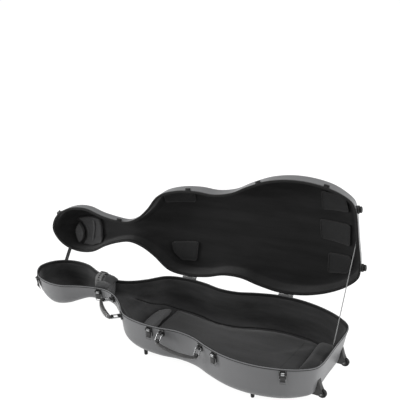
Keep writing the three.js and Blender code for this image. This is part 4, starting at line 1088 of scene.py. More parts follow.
@dataclass
class Pockets:
    """Flat pockets sewn to the lid's lining, bound with tape, and the crescent pouch in the scroll."""

    space: CaseSpace
    finishes: Finishes
    skin: float = 7.6
    thickness: float = 7
    binding: float = 2.1

    def plans(self) -> dict[str, tuple[float, list]]:
        """Pocket plans: the width they follow, and corners as shares of the length and half that width."""
        plan = self.space.outline.plan
        return {
            "upper_latch_side": (plan.upper, [[0.514, -0.57], [0.514, -0.8], [0.611, -0.78],
                                              [0.611, -0.57]]),
            "upper_hinge_side": (plan.upper, [[0.525, 0.38], [0.611, 0.38], [0.606, 0.6], [0.585, 0.78],
                                              [0.537, 0.8]]),
            "lower_latch_side": (plan.lower, [[0.037, -0.36], [0.046, -0.62], [0.114, -0.7],
                                              [0.119, -0.38]]),
            "lower_hinge_side": (plan.lower, [[0.041, 0.41], [0.111, 0.38], [0.116, 0.71], [0.053, 0.69]]),
            "lower_middle": (plan.lower, [[0.036, -0.14], [0.13, -0.19], [0.13, 0.13], [0.043, 0.22]]),
        }

    def boundary(self, width: float, shares: Sequence, radius: float, count: int) -> Array:
        """Closed rounded outline in plan."""
        length = self.space.outline.plan.length
        corners = np.array([(-at * length, across * width / 2) for at, across in shares])
        return respaced(rounded_path(corners, radius, 5, closed=True), count, closed=True)

    def lift(self, edge: Array, inward: float, rise: float) -> Array:
        """Plan moved a share of the way to its middle and lifted off the lining."""
        plan = edge + (edge.mean(0) - edge) * inward
        return np.column_stack([plan, self.space.lid.height_at(self.skin, plan) - rise])

    def pillow(self, edge: Array, thickness: float, rows: Sequence[tuple[float, float]]) -> Surface:
        """Panel over a closed plan: rings that shrink to its middle at shares of its thickness."""
        rings = [self.lift(edge, inward, rise * thickness) for inward, rise in rows]
        return loft(np.stack(rings), capped=True)

    def build(self) -> None:
        """Builds the pockets, their bindings and stitches, and the pouch."""
        space, f = self.space, self.finishes
        rows = [(0.02, -0.15), (0.0, 0.1), (0.0, 0.55), (0.015, 0.82), (0.05, 0.97), (0.14, 1.0), (0.3, 0.93),
                (0.5, 0.98), (0.72, 1.04), (0.9, 1.05)]
        for name, (width, shares) in self.plans().items():
            edge = self.boundary(width, shares, 9, 96)
            cloth = self.pillow(edge, self.thickness, rows)
            obj = space.add(f"lid_pocket_{name}", cloth, Body.LID, f.pocket, Slot.FLEECE, crease=70)
            tape = tube(self.lift(edge, 0.012, self.thickness * 0.9), self.binding, 8, closed=True)
            space.add(f"pocket_binding_{name}", tape, Body.LID, f.binding, Slot.FLEECE)
            thread = stitches(self.lift(edge, 0.09, self.thickness + 0.1), 5.5, 0.45, closed=True)
            space.add(f"pocket_stitches_{name}", thread, Body.LID, f.thread, Slot.FLEECE)
        self.pouch()

    def pouch(self) -> None:
        """Scroll pouch: a ridged panel whose curved mouth faces the tip, the crescent pad before it, and
        painted shade in the slit.
        """
        space, f = self.space, self.finishes
        panel = [(-1143, 74), (-1147, -28), (-1186, -36), (-1252, -30), (-1238, -12), (-1226, 12),
                 (-1219, 40), (-1224, 66), (-1236, 84), (-1190, 88)]
        pad = [(-1256, -6), (-1241, 20), (-1237, 46), (-1244, 70), (-1256, 80), (-1270, 58), (-1273, 20)]
        # Line of the black strip laid in the slit between the pad and the panel: painted shade.
        slit_shade = [(-1262, -22), (-1238, 8), (-1230, 42), (-1236, 70), (-1248, 84)]
        # Line of the strip of paler pad cloth along the panel's fold: a painted highlight.
        ridge_highlight = [(-1180, -20), (-1184, 18), (-1189, 48), (-1195, 72)]
        rows = [(0.03, -0.1), (0.0, 0.1), (0.0, 0.6), (0.03, 0.88), (0.1, 1.0), (0.25, 0.95), (0.45, 0.8),
                (0.7, 0.86), (0.9, 0.9)]
        for name, plan, radius, thick, cloth, nodes in (
                ("scroll_pouch_panel", panel, 6, 13, f.pouch, ["scroll_pouch"]),
                ("scroll_pouch_pad", pad, 7, 15, f.pad, [])):
            edge = respaced(rounded_path(plan, radius, 5, closed=True), 120, closed=True)
            part = self.pillow(edge, thick, rows)
            obj = space.add(name, part, Body.LID, cloth, Slot.FLEECE, nodes, crease=70)
            tape = tube(self.lift(edge, 0.02, thick * 0.92), 1.5, 8, closed=True)
            space.add(f"{name}_binding", tape, Body.LID, f.binding, Slot.FLEECE)
        # Two strips on the lining: a black one in the slit is painted shade, a paler one on the ridge is a
        # painted highlight.
        for name, line, rise, width, cloth in (("scroll_pouch_slit_shade", slit_shade, 1.4, 17, f.trim),
                                               ("scroll_pouch_ridge_highlight", ridge_highlight, 13.6, 9, f.pad)):
            plan = respaced(rounded_path(line, 9, 6), 40)
            run = np.gradient(plan, axis=0)
            across = np.column_stack([run[:, 1], -run[:, 0], 0 * run[:, 0]])
            tape = ribbon(self.lift(plan, 0, rise), across, width, 2.4)
            space.add(name, tape, Body.LID, cloth, Slot.FLEECE, crease=50)


def stitches(path: Array, step: float, radius: float, closed: bool = False) -> Surface:
    """Row of short thread stitches along a path: each a small six-sided spindle over 0.6 of the step.

    Args:
        path: its line in case millimetres.
        step: spacing of the stitches.
        radius: half thickness of the thread.
        closed: whether the line closes on itself.

    Returns:
        The row as one surface.
    """
    length = float(np.linalg.norm(np.diff(path, axis=0), axis=1).sum())
    count = max(int(length / step), 2)
    starts = respaced(path, count * 5, closed)
    lines = [starts[k * 5: k * 5 + 4] for k in range(count)]
    taper = radius * np.array([0.35, 1, 1, 0.35])
    return merged([tube(line, taper, 6) for line in lines if len(line) == 4])


@dataclass
class Pads:
    """Foam pads of the base under plush and fleece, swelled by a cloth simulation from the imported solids."""

    space: CaseSpace
    finishes: Finishes
    pressure: float = 4
    stiffness: float = 18
    quality: int = 5
    frames: int = 20
    skin: float = 8.2
    fade: float = 9
    cushion_start: float = -560
    cushion_front: float = -758
    cushion_gap: float = 18
    ear_foot: float = -6
    ear_height: float = 20
    ear_reach: float = 14
    ear_spread: float = 6
    ear_rise: float = 10
    ear_fall: float = 12
    seam_at: float = -192
    seam_span: tuple = (-150, 165)
    seam_wave: float = 5
    seam_reach: float = 8
    # The cord fields place a dark cord of painted shade in the crease of the lining.
    cord_skin: float = 9.4
    cord_angle: float = math.radians(62)
    cord_span: tuple = (-905, -114)
    cord: float = 2.4
    cup_at: tuple = (-112.5, 0, -96)

    def inflate(self, node: str, name: str, voxel: float, shrink: float, cap: float, rounds: int) -> Piece:
        """Soft form of a CAD pad: remeshed, swelled by pressure, each point's travel capped.

        Travel fades to nothing towards the lining, so that the pad keeps clear of the walls and the floor.

        Args:
            node: the CAD pad.
            name: the piece's name.
            voxel: remeshing size in millimetres.
            shrink: how far the form starts inside the solid.
            cap: most travel in millimetres.
            rounds: how often the voxel steps are evened out.

        Returns:
            The finished object.
        """
        obj = weld(copy_of(node, name))
        remesh = obj.modifiers.new("Remesh", "REMESH")
        remesh.mode, remesh.voxel_size = "VOXEL", voxel * MM
        self._apply(obj)
        rest = points_of(obj)
        normals = np.zeros(rest.size, np.float32)
        obj.data.vertex_normals.foreach_get("vector", normals)
        free = np.clip(self._clearance(rest) / self.fade, 0, 1)[:, None]
        rest = rest - normals.reshape(-1, 3).astype(float) * shrink * MM * free
        set_points(obj, rest)
        self._swell(obj)
        travel = points_of(obj) - rest
        reach = np.linalg.norm(travel, axis=1)[:, None]
        travel *= np.minimum(1, cap * MM / np.maximum(reach, 1e-9)) * free
        set_points(obj, rest + travel)
        with cage_of(obj) as cage:
            for _ in range(rounds):
                bmesh.ops.smooth_vert(cage, verts=cage.verts, factor=0.5, use_axis_x=True, use_axis_y=True,
                                      use_axis_z=True)
        for one in obj.data.polygons:
            one.use_smooth = True
        finer = obj.modifiers.new("Subdivision", "SUBSURF")
        finer.levels = finer.render_levels = 1
        return obj

    def _swell(self, obj: Piece) -> None:
        """Runs the cloth under pressure and bakes its last frame."""
        cloth = obj.modifiers.new("Cloth", "CLOTH")
        cloth.settings.use_pressure = True
        cloth.settings.uniform_pressure_force = self.pressure
        cloth.settings.effector_weights.gravity = 0
        cloth.settings.quality = self.quality
        cloth.settings.tension_stiffness = self.stiffness
        cloth.point_cache.frame_start, cloth.point_cache.frame_end = 1, self.frames
        for number in range(1, self.frames + 1):
            bpy.context.scene.frame_set(number)
        self._apply(obj)
        bpy.context.scene.frame_set(1)

    def _apply(self, obj: Piece) -> None:
        """Bakes the modifiers into the mesh."""
        shape = bpy.data.meshes.new_from_object(obj.evaluated_get(bpy.context.evaluated_depsgraph_get()))
        obj.modifiers.clear()
        obj.data = shape

    def _clearance(self, points: Array, batch: int = 2000) -> Array:
        """Height in millimetres of points over the hollow's floor and edge, worked out in batches."""
        case = self.space.case(points)
        floors = [self.space.base.height_at(self.skin, part[:, :2])
                  for part in np.array_split(case, len(case) // batch + 1)]
        return case[:, 2] - np.concatenate(floors)

    def build(self) -> None:
        """Builds the pads and what is sewn or sunk into them."""
        f = self.finishes
        for node, name, voxel, shrink, cap, rounds, cloth, slot, fill in (
                ("back_cushion", "back_cushion_plush", 6, 1.5, 5, 6, f.cushion, Slot.CUSHION, 0.4),
                ("shoulder_pad", "shoulder_pad_plush", 5, 3, 7, 6, f.pad, Slot.CUSHION, 0.7),
                ("neck_cradle", "neck_cradle_fleece", 3, 0.5, 1.6, 3, f.pad, Slot.FLEECE, 0.8),
                ("end_block", "end_block_fleece", 5, 2.5, 6, 6, f.fleece, Slot.FLEECE, 0.8)):
            obj = self.inflate(node, name, voxel, shrink, cap, rounds)
            if node == "back_cushion":
                self.reach_pad(obj)
                self.seam(obj)
            if node == "neck_cradle":
                self.raise_ears(obj)
            settle(obj, Body.BASE, cloth, [node])
        # Dark cord of painted shade in the lining's crease.
        self.crease_shade_cord()
        self.pull_tab()
        self.end_pin_cup()

    def raise_ears(self, obj: Piece) -> None:
        """Lifts the cradle's ears and draws them out towards the bouts, where their crest falls off."""
        case = self.space.case(points_of(obj))
        x = case[:, 0].copy()
        share = (x - x.min()) / (x.max() - x.min())
        above = np.clip((case[:, 2] - self.ear_foot) / self.ear_height, 0, 1)
        case[:, 0] += above * (self.ear_reach + share * self.ear_spread)
        case[:, 2] += above * (self.ear_rise - self.ear_fall * np.clip((share - 0.6) / 0.4, 0, 1) ** 2)
        set_points(obj, self.space.row(case))

    def reach_pad(self, obj: Piece) -> None:
        """Stretches the cushion's front up to the shoulder pad, keeping to the walls and the floor."""
        case = self.space.case(points_of(obj))
        x, front = case[:, 0], case[:, 0].min()
        share = np.clip((self.cushion_start - x) / (self.cushion_start - front), 0, 1)
        ahead = x - share * (front - self.cushion_front)
        outline, base, gap = self.space.outline, self.space.base, self.cushion_gap
        case[:, 1] *= np.minimum((outline.half_width(ahead) - gap) / (outline.half_width(x) - gap), 1)
        case[:, 2] += base.profile(x)[0] - base.profile(ahead)[0]
        case[:, 0] = ahead
        set_points(obj, self.space.row(case))

    def seam(self, obj: Piece) -> None:
        """Faint seam across the cushion's lower end, each stitch on the nearest point of its upper face."""
        case = self.space.case(points_of(obj))
        upper = case[case[:, 2] > np.median(case[:, 2])]
        y = np.linspace(*self.seam_span, 110)
        plan = np.column_stack([self.seam_at + self.seam_wave * np.sin(y / 60), y])
        gaps = ((plan[:, None] - upper[None, :, :2]) ** 2).sum(2)
        z = upper[np.argmin(gaps, axis=1), 2]
        z = np.convolve(np.pad(z, 3, mode="edge"), np.full(7, 1 / 7), mode="valid")
        line = np.column_stack([plan, z + 0.3])[gaps.min(axis=1) < self.seam_reach**2]
        self.space.add("cushion_seam", stitches(line, 6, 0.6), Body.BASE, self.finishes.trim, Slot.CUSHION)

    def pull_tab(self) -> None:
        """Webbing tab that lifts the end block, sewn over its front edge, with a black rivet."""
        line = rounded_path([(-54, -36, -67), (-52, -36, -62.4), (-28, -36, -62.4), (-26, -36, -67)], 1.5, 5)
        tab = ribbon(respaced(line, 30), (0, 1.0, 0), 17, 1.4)
        self.space.add("end_block_tab", tab, Body.BASE, self.finishes.tape, Slot.WEBBING, crease=50)
        rivet = screw_head(framed((-40, -36, -61.7), (0, 1, 0), (0, 0, 1)), 4.2)
        self.space.add("end_block_tab_rivet", rivet, Body.BASE, self.finishes.plastic, Slot.BLACK_METAL)

    def crease_shade_cord(self) -> None:
        """Dark cord in the crease where the walls' lining meets the floor, from shoulder to shoulder: painted
        shade along the crease.
        """
        ring = self.space.base.edge(self.cord_skin, self.cord_angle)
        keep = ring[(ring[:, 0] > self.cord_span[0]) & (ring[:, 0] < self.cord_span[1])]
        for side, name in ((1, "hinge_side"), (-1, "latch_side")):
            line = keep[np.sign(keep[:, 1]) == side]
            cord = tube(line[np.argsort(line[:, 0])], self.cord, 8)
            self.space.add(f"crease_shade_line_{name}", cord, Body.BASE, self.finishes.trim, Slot.FLEECE)

    def end_pin_cup(self) -> None:
        """Cup in the end block's front face, where the cello's end pin rests."""
        rows = [(-9, 13), (-1, 14.5), (1.2, 14), (2.2, 12), (1.6, 10), (-2, 8.5), (-7, 7), (-8, 1)]
        cup = lathe(rows, framed(self.cup_at, (0, 0, 1), (-1, 0, 0)))
        self.space.add("end_pin_cup", cup, Body.BASE, self.finishes.trim, Slot.RUBBER)


@dataclass
class Hinges:
    """Two pressed hinges: bevelled leaves, each with a row of three screws."""

    space: CaseSpace
    finishes: Finishes
    shares: dict = field(default_factory=lambda: {"lower_bout": 0.232, "upper_bout": 0.538})
    screw: float = 3.1
    screw_pitch: float = 21
    screw_row: float = 12.4
    screw_sunk: float = 2.7

    def build(self) -> None:
        """Builds both hinges."""
        for where, share in self.shares.items():
            for body in (Body.BASE, Body.LID):
                node = f"hinge_leaf_{body.value}_{where}"
                obj = bevelled(node, f"{body.value}_hinge_leaf_{where}", 0.35)
                settle(obj, body, self.finishes.steel, [node])
                self.space.add(f"{body.value}_hinge_screws_{where}", self.screws(body, share), body,
                               self.finishes.chrome, Slot.STEEL)

    def screws(self, body: Body, share: float) -> Surface:
        """Three domed screws across a leaf."""
        point, axis = self.space.hinge_point, self.space.hinge_axis
        out = np.array([axis[1], -axis[0], 0])
        along = (-share * self.space.outline.plan.length - point[0]) / axis[0]
        side = -1 if body is Body.BASE else 1
        middle = point + axis * along + (0, 0, side * self.screw_row) - out * self.screw_sunk
        return merged([screw_head(framed(middle - axis * x, -axis, out), self.screw)
                       for x in (-self.screw_pitch, 0, self.screw_pitch)])


def screw_head(matrix: Array, radius: float) -> Surface:
    """Domed screw head with a dished drive: a quarter-circle rim that falls into a small cone."""
    rows = [(-1.2, radius), (0, radius), (0.45, radius * 0.97), (0.85, radius * 0.85), (1.1, radius * 0.62),
            (1.15, radius * 0.45), (0.5, radius * 0.3), (0.3, radius * 0.1)]
    return lathe(rows, matrix, 18)


def rivets(matrix: Array, places: Sequence[Sequence[float]], radius: float) -> Surface:
    """Flat-faced heads on a wall's plate, at (along, out, up) places of its frame."""
    return merged([screw_head(matrix @ framed(place, (1, 0, 0), (0, -1, 0)), radius) for place in places])


@dataclass
class Latches:
    """Five draw latches: lacquered plate, chrome lever with a black tab, wire bail, keeper above."""

    space: CaseSpace
    finishes: Finishes
    shares: dict = field(default_factory=lambda: {"scroll": 0.967, "neck": 0.754, "shoulder": 0.505,
                                                  "waist": 0.283, "bout": 0.08})
    pivot_out: float = 7.4
    pivot_drop: float = 15
    bail_drop: float = 10
    reach: float = 36
    half: float = 13.3
    wire: float = 1.15
    tab_half: float = 8.6
    tab_span: tuple = (-32.5, -12.5)
    tab_lean: float = 4.2
    bridge_radius: float = 4.1
    rivet: float = 2.0

    def bail(self, matrix: Array) -> Surface:
        """Wire loop: a round tube along a rounded rectangle, its ends in the lever's lower bore."""
        points = [(3, 0), (self.half, 0), (self.half, -self.reach), (-self.half, -self.reach),
                  (-self.half, 0), (-3, 0)]
        path = rounded_path([(x, 0, z) for x, z in points], 3.2, 7)
        shift = np.array([0, self.pivot_out, -self.pivot_drop - self.bail_drop])
        return moved(matrix, tube(path + shift, self.wire, 12))

    def tab(self, matrix: Array) -> Surface:
        """Square black finger tab over the lever's lower half, crowned and rounded at its edges."""
        rows = [(0.0, 0.0), (0.0, 0.5), (0.25, 0.85), (1.0, 1.05), (4.0, 1.3), (7.0, 1.4)]
        square = ring_of(32, 0.35)
        low, high = (end - self.pivot_drop for end in self.tab_span)
        rings = []
        for inset, rise in rows:
            x = square[:, 0] * (self.tab_half - inset)
            z = (low + high) / 2 + square[:, 1] * ((high - low) / 2 - inset)
            lean = np.clip((-self.pivot_drop - 21 - z) / 12, 0, 1) ** 2 * self.tab_lean
            rings.append(np.column_stack([x, self.pivot_out + 2.0 + rise + lean, z]))
        return moved(matrix, loft(np.stack(rings), capped=True))

    def bridge(self, matrix: Array) -> Surface:
        """Bright strip folded over the lever's upper half: an arc round the pivot, then straight down."""
        angle, radius = np.radians(np.linspace(110, 0, 9)), self.bridge_radius
        out, down = self.pivot_out + radius * np.cos(angle), -self.pivot_drop + radius * np.sin(angle)
        path = np.column_stack([np.zeros(len(out)), out, down])
        tail = [(0, self.pivot_out + 4.0, -17.0), (0, self.pivot_out + 3.6, -21.0)]
        verts, faces, _ = ribbon(np.vstack([path, tail]), (1.0, 0, 0), 12, 0.8)
        return moved(matrix, (verts, faces))

    def build(self) -> None:
        """Builds the latches."""
        space, f = self.space, self.finishes
        for name, share in self.shares.items():
            on_base, on_lid = (space.wall_frame(half, share, -1, 0) for half in (space.base, space.lid))
            parts = ("plate", "lever", "bail", "keeper")
            plate_node, lever, bail, keeper = (f"latch_{part}_{name}" for part in parts)
            obj = bevelled(plate_node, f"latch_plate_pressed_{name}", 0.5)
            settle(obj, Body.BASE, f.lacquer, [plate_node])
            obj = bevelled(lever, f"latch_lever_lacquered_{name}", 0.45)
            settle(obj, lever, f.lacquer, [lever])
            space.add(f"latch_bail_wire_{name}", self.bail(on_base), bail, f.wire, Slot.CHROME, [bail])
            space.add(f"latch_bridge_{name}", self.bridge(on_base), lever, f.chrome, Slot.CHROME)
            space.add(f"latch_tab_{name}", self.tab(on_base), lever, f.plastic, Slot.BLACK_METAL)
            obj = bevelled(keeper, f"latch_keeper_pressed_{name}", 0.4)
            settle(obj, Body.LID, f.lacquer, [keeper])
            corners = [(-10.5, 2.3, -8), (10.5, 2.3, -8), (-10.5, 2.3, -44), (10.5, 2.3, -44)]
            heads = rivets(on_base, corners, self.rivet)
            space.add(f"latch_plate_screws_{name}", heads, Body.BASE, f.chrome, Slot.CHROME)
            heads = rivets(on_lid, [(-7, 2.1, 15.5), (7, 2.1, 15.5)], self.rivet)
            space.add(f"latch_keeper_screws_{name}", heads, Body.LID, f.chrome, Slot.CHROME)


@dataclass
class Handle:
    """Carrying handle: riveted brackets, bright links, a bowed leather grip with piped and stitched edges."""

    space: CaseSpace
    finishes: Finishes
    name: str
    shares: tuple
    hang: float
    drop: float = 20
    pivot_out: float = 9
    reach: float = 28
    overhang: float = 5
    bow: float = 9
    lift: float = 7.6
    end_wide: float = 6.5
    wide: float = 12.5
    end_deep: float = 4
    deep: float = 7.5

    def frames(self) -> tuple[Array, float]:
        """Frame between the brackets, in case millimetres, and half their spacing."""
        a, b = (np.append(self.space.outline.wall_point(share, -1)[0], 0) for share in self.shares)
        half = np.linalg.norm(b - a) / 2
        run, up = (b - a) / (2 * half), np.array([0, 0, 1.0])
        return framed((a + b) / 2 - (0, 0, self.drop), run, up), half

    def hung(self, matrix: Array, down: float) -> Array:
        """Frame at the links' pivot, turned by the hang and moved down the links."""
        out = np.array([0, -math.sin(self.hang), math.cos(self.hang)])
        return matrix @ framed((0, self.pivot_out, 0) - down * out, (1, 0, 0), out)

    def section(self, q: Array) -> tuple[Array, Array, Array]:
        """Half width, half depth and middle height of the grip at shares q of -1 to 1 along it."""
        swell = 1 - q**4
        wide = self.end_wide + (self.wide - self.end_wide) * swell
        deep = self.end_deep + (self.deep - self.end_deep) * swell
        return wide, deep, -(self.lift + self.bow * (1 - q * q) + deep - self.end_deep)

    def grip(self, half: float) -> Surface:
        """Loft of superellipse sections with rounded ends: |x|^2.5 + |z|^2.5 = 1, swelling as 1 - q^4."""
        q = np.sin(np.linspace(-math.pi / 2, math.pi / 2, 57))
        wide, deep, middle = self.section(q)
        near = np.clip((1 - np.abs(q)) / 0.035, 0, 1)
        scale = (0.25 + 0.75 * np.sqrt(near * (2 - near)))[:, None]
        across, over = ring_of(40, 0.8).T
        x = np.broadcast_to((q * (half + self.overhang))[:, None], (len(q), len(across)))
        y, z = wide[:, None] * scale * across, middle[:, None] + deep[:, None] * scale * over
        return loft(np.stack([x, y, z], -1), capped=True)

    def edge_line(self, half: float, side: int, inward: float, rise: float) -> Array:
        """Line along one long edge of the grip, inward of it and off its upper face."""
        q = np.linspace(-0.93, 0.93, 90)
        wide, deep, middle = self.section(q)
        return np.column_stack([q * (half + self.overhang), side * (wide - inward), middle - rise * deep])

    def build(self) -> None:
        """Builds the handle."""
        f, (matrix, half) = self.finishes, self.frames()
        links, grip = f"{self.name}_links", f"{self.name}_grip"
        for end, x in (("bottom", -half), ("top", half)):
            node = f"{self.name}_bracket_{end}"
            obj = bevelled(node, f"{self.name}_bracket_pressed_{end}", 0.6)
            settle(obj, Body.BASE, f.lacquer, [node])
            node = f"{self.name}_link_{end}"
            settle(bevelled(node, f"{self.name}_ring_{end}", 1.1, 3), links, f.chrome, [node])
            places = [(x + dx, 3.1, dz) for dx, dz in ((-8, 10), (8, 10), (-8, -10), (8, -10))]
            self.space.add(f"{self.name}_rivets_{end}", rivets(matrix, places, 2.3), Body.BASE, f.chrome,
                           Slot.CHROME)
        self.dress_grip(self.hung(matrix, self.reach), half, grip)

    def dress_grip(self, matrix: Array, half: float, grip: str) -> None:
        """Grip body, its end barrels, piped edges, stitches and end rivets."""
        space, f = self.space, self.finishes
        leather = moved(matrix, self.grip(half))
        space.add(f"{grip}_leather", leather, grip, f.leather, Slot.GRIP, [grip], crease=50)
        rows = [(-6.5, 4.0), (-6.5, 6.0), (-6.0, 6.5), (6.0, 6.5), (6.5, 6.0), (6.5, 4.0), (6.2, 3.4),
                (-6.2, 3.4)]
        barrels, heads = [], []
        for x in (-half, half):
            barrels.append(lathe(rows, matrix @ framed((x, 0, 0), (0, 0, -1), (1, 0, 0)), 36, hollow=True))
            q = x / (half + self.overhang) * 0.86
            _, deep, middle = self.section(q)
            at = framed((q * (half + self.overhang), 0, middle - deep + 0.6), (1, 0, 0), (0, 0, -1))
            heads.append(screw_head(matrix @ at, 3.4))
        space.add(f"{grip}_barrels", merged(barrels), grip, f.plastic, Slot.BLACK_METAL)
        space.add(f"{grip}_end_rivets", merged(heads), grip, f.chrome, Slot.CHROME)
        for side, where in ((-1, "low"), (1, "high")):
            cord = tube(through(matrix, self.edge_line(half, side, 0.2, 0.0)), 1.1, 8)
            space.add(f"{grip}_piping_{where}", cord, grip, f.leather, Slot.GRIP)
            thread = stitches(through(matrix, self.edge_line(half, side, 3.2, 0.93)), 4.2, 0.42)
            space.add(f"{grip}_stitches_{where}", thread, grip, f.thread, Slot.GRIP)


@dataclass
class Feet:
    """Rubber studs under the back, and the lid's two round end buffers with collars."""

    space: CaseSpace
    finishes: Finishes
    back_shares: dict = field(default_factory=lambda: {"bottom": 0.178, "top": 0.545})
    back_inset: float = 46
    floor: float = -175
    spread: float = 120
    stud_share: float = 0.62
    height: float = 28

    def build(self) -> None:
        """Builds the feet."""
        for end, share in self.back_shares.items():
            for side, where in ((-1, "latch_side"), (1, "hinge_side")):
                (px, py), _ = self.space.outline.wall_point(share, side)
                centre = np.array([[px, py - side * self.back_inset]])
                top = float(self.space.base.height_at(0, centre)[0]) + 1.6
                low = self.floor
                rows = [(top, 13.0), (low + 3.4, 11.6), (low + 1.2, 11.0), (low + 0.3, 10.2), (low, 9.2),
                        (low, 5.2), (low + 0.8, 4.4), (low + 0.8, 1.0)]
                slim = [(height, radius * self.stud_share) for height, radius in rows]
                stud = lathe(slim, framed((*centre[0], 0), (1, 0, 0), (0, 0, 1)))
                self.space.add(f"back_stud_{end}_{where}", stud, Body.BASE, self.finishes.rubber, Slot.RUBBER,
                               [f"back_foot_{end}_{where}"])
        for side, where in ((-1, "latch_side"), (1, "hinge_side")):
            self.end_foot(side, where)

    def end_foot(self, side: int, where: str) -> None:
        """Buffer turned about x: a collar on the wall, a waist and a ribbed head with a soft dished tip."""
        matrix = framed((0, side * self.spread, self.height), (0, 0, -1), (1, 0, 0))
        rows = [(-8, 15.5), (1.0, 16), (2.4, 15.6), (3.0, 14.6), (3.2, 12.8), (4.0, 11.9), (5.0, 12.3),
                (6.4, 12.5), (7.2, 12.0), (8.0, 12.5), (11.0, 12.5), (12.3, 11.9), (13.0, 10.6), (13.0, 5.4),
                (12.3, 4.4), (12.0, 1.0)]
        self.space.add(f"end_buffer_{where}", lathe(rows, matrix, 44), Body.LID, self.finishes.rubber,
                       Slot.RUBBER, [f"lid_end_foot_{where}"])


@dataclass
class Wheels:
    """Two small wheels in moulded housings at the bottom end."""

    space: CaseSpace
    finishes: Finishes
    spread: float = 110
    drop: float = 135
    set_back: float = -4
    cheek: float = 8
    cheek_share: float = 0.45
    bulge_share: float = 0.5
    wall_lean: float = 24 / 133
    slim_from: float = -124
    slim_over: float = 12

    def build(self) -> None:
        """Builds the wheels."""
        rows = [(-6.6, 4.2), (-6.9, 5.0), (-6.9, 8.4), (-5.6, 9.2), (-5.6, 13.0), (-6.8, 14.0), (-6.9, 15.0),
                (-5.9, 16.8), (-4.2, 17.8), (-3.0, 18.0), (-2.2, 17.4), (-0.6, 17.4), (0.6, 17.4),
                (2.2, 17.4), (3.0, 18.0), (4.2, 17.8), (5.9, 16.8), (6.9, 15.0), (6.8, 14.0), (5.6, 13.0),
                (5.6, 9.2),
                (6.9, 8.4), (6.9, 5.0), (6.6, 4.2)]
        f = self.finishes
        for side, where in ((-1, "latch_side"), (1, "hinge_side")):
            y = side * self.spread
            tyre = lathe(rows, framed((self.set_back, y, -self.drop), (1, 0, 0), (0, 1, 0)), 48, hollow=True)
            wheel, housing, axle = (f"wheel{part}_{where}" for part in ("", "_housing", "_axle"))
            self.space.add(f"tyre_{where}", tyre, wheel, f.rubber, Slot.RUBBER, [wheel])
            obj = bevelled(housing, f"wheel_housing_moulded_{where}", 1.2, 3)
            self.slim(obj, y)
            settle(obj, Body.BASE, f.plastic, [housing])
            obj = bevelled(axle, f"wheel_axle_turned_{where}", 0.4)
            settle(obj, Body.BASE, f.steel, [axle])

    def slim(self, obj: Piece, y: float) -> None:
        """Brings a housing's cheeks nearer to the wheel and its upper part nearer to the end wall.

        Beyond the cheek's inner face the distance from the wheel's middle counts by the cheek's share; above
        the wheel, what stands out of the leaning wall loses the bulge's share.

        Args:
            obj: the housing.
            y: the wheel's middle.
        """
        case = self.space.case(points_of(obj))
        offset = case[:, 1] - y
        aside = np.abs(offset)
        nearer = self.cheek + (aside - self.cheek) * self.cheek_share
        case[:, 1] = y + np.sign(offset) * np.where(aside > self.cheek, nearer, aside)
        near = np.clip((case[:, 2] - self.slim_from) / self.slim_over, 0, 1) * self.bulge_share
        case[:, 0] -= np.maximum(case[:, 0] - self.wall_lean * case[:, 2], 0) * near
        set_points(obj, self.space.row(case))


@dataclass
class NeckStrap:
    """Webbing strap that stands in a loop over the neck's throat, with a row of studs and a black buckle."""

    space: CaseSpace
    finishes: Finishes
    line: tuple = ((-1035, 31, 15.6), (-1035, 29.5, 24), (-1034, 20, 34), (-1032, 3, 40.5), (-1030, -17, 38),
                   (-1028, -29, 29), (-1026.5, -34, 15), (-1026, -34, 2), (-1026, -34.5, -9))
    width: float = 29
    thickness: float = 1.8
    stud: float = 4.1
    studs: tuple = (14, 58, 7)
    buckle_at: int = 8
    along: tuple = (1.0, 0.03, 0)

    def build(self) -> None:
        """Builds the strap, its studs and its buckle."""
        space, f = self.space, self.finishes
        path = respaced(rounded_path(self.line, 6, 6), 72)
        band = ribbon(path, self.along, self.width, self.thickness)
        space.add("neck_webbing", band, Body.NECK_STRAP, f.strap, Slot.WEBBING, ["neck_strap"], crease=50)
        lift = framed((0, 0, self.thickness / 2), (1, 0, 0), (0, 0, 1))
        studs = merged([screw_head(self.frame(path, k) @ lift, self.stud) for k in range(*self.studs)])
        space.add("neck_strap_studs", studs, Body.NECK_STRAP, f.plastic, Slot.BLACK_METAL)
        space.add("neck_strap_buckle", self.buckle(path), Body.NECK_STRAP, f.plastic, Slot.BLACK_METAL)

    def frame(self, path: Array, k: int) -> Array:
        """Frame on the strap's outer face at a point of its path, z away from the throat."""
        return framed(path[k], self.along, np.cross(path[k + 1] - path[k - 1], self.along))

    def buckle(self, path: Array) -> Surface:
        """Moulded buckle over the hinge-side end: a domed body, a bar across it and a keeper loop."""
        at = self.frame(path, self.buckle_at)
        rows = [(-4.2, 0.9), (-3.6, 1.0), (3.2, 1.0), (4.8, 0.93), (5.6, 0.78), (5.8, 0.4)]
        half = self.width / 2 + 1.5
        bar = [(-half, 10, 1.4), (half, 10, 1.4), (half, 10, -2.4), (-half, 10, -2.4)]
        loop = tube(rounded_path(bar, 1, 4, closed=True), 1.3, 8, closed=True)
        return merged([moved(at, plate(2 * half + 2, 17, rows, 0.35)), moved(at, loop)])


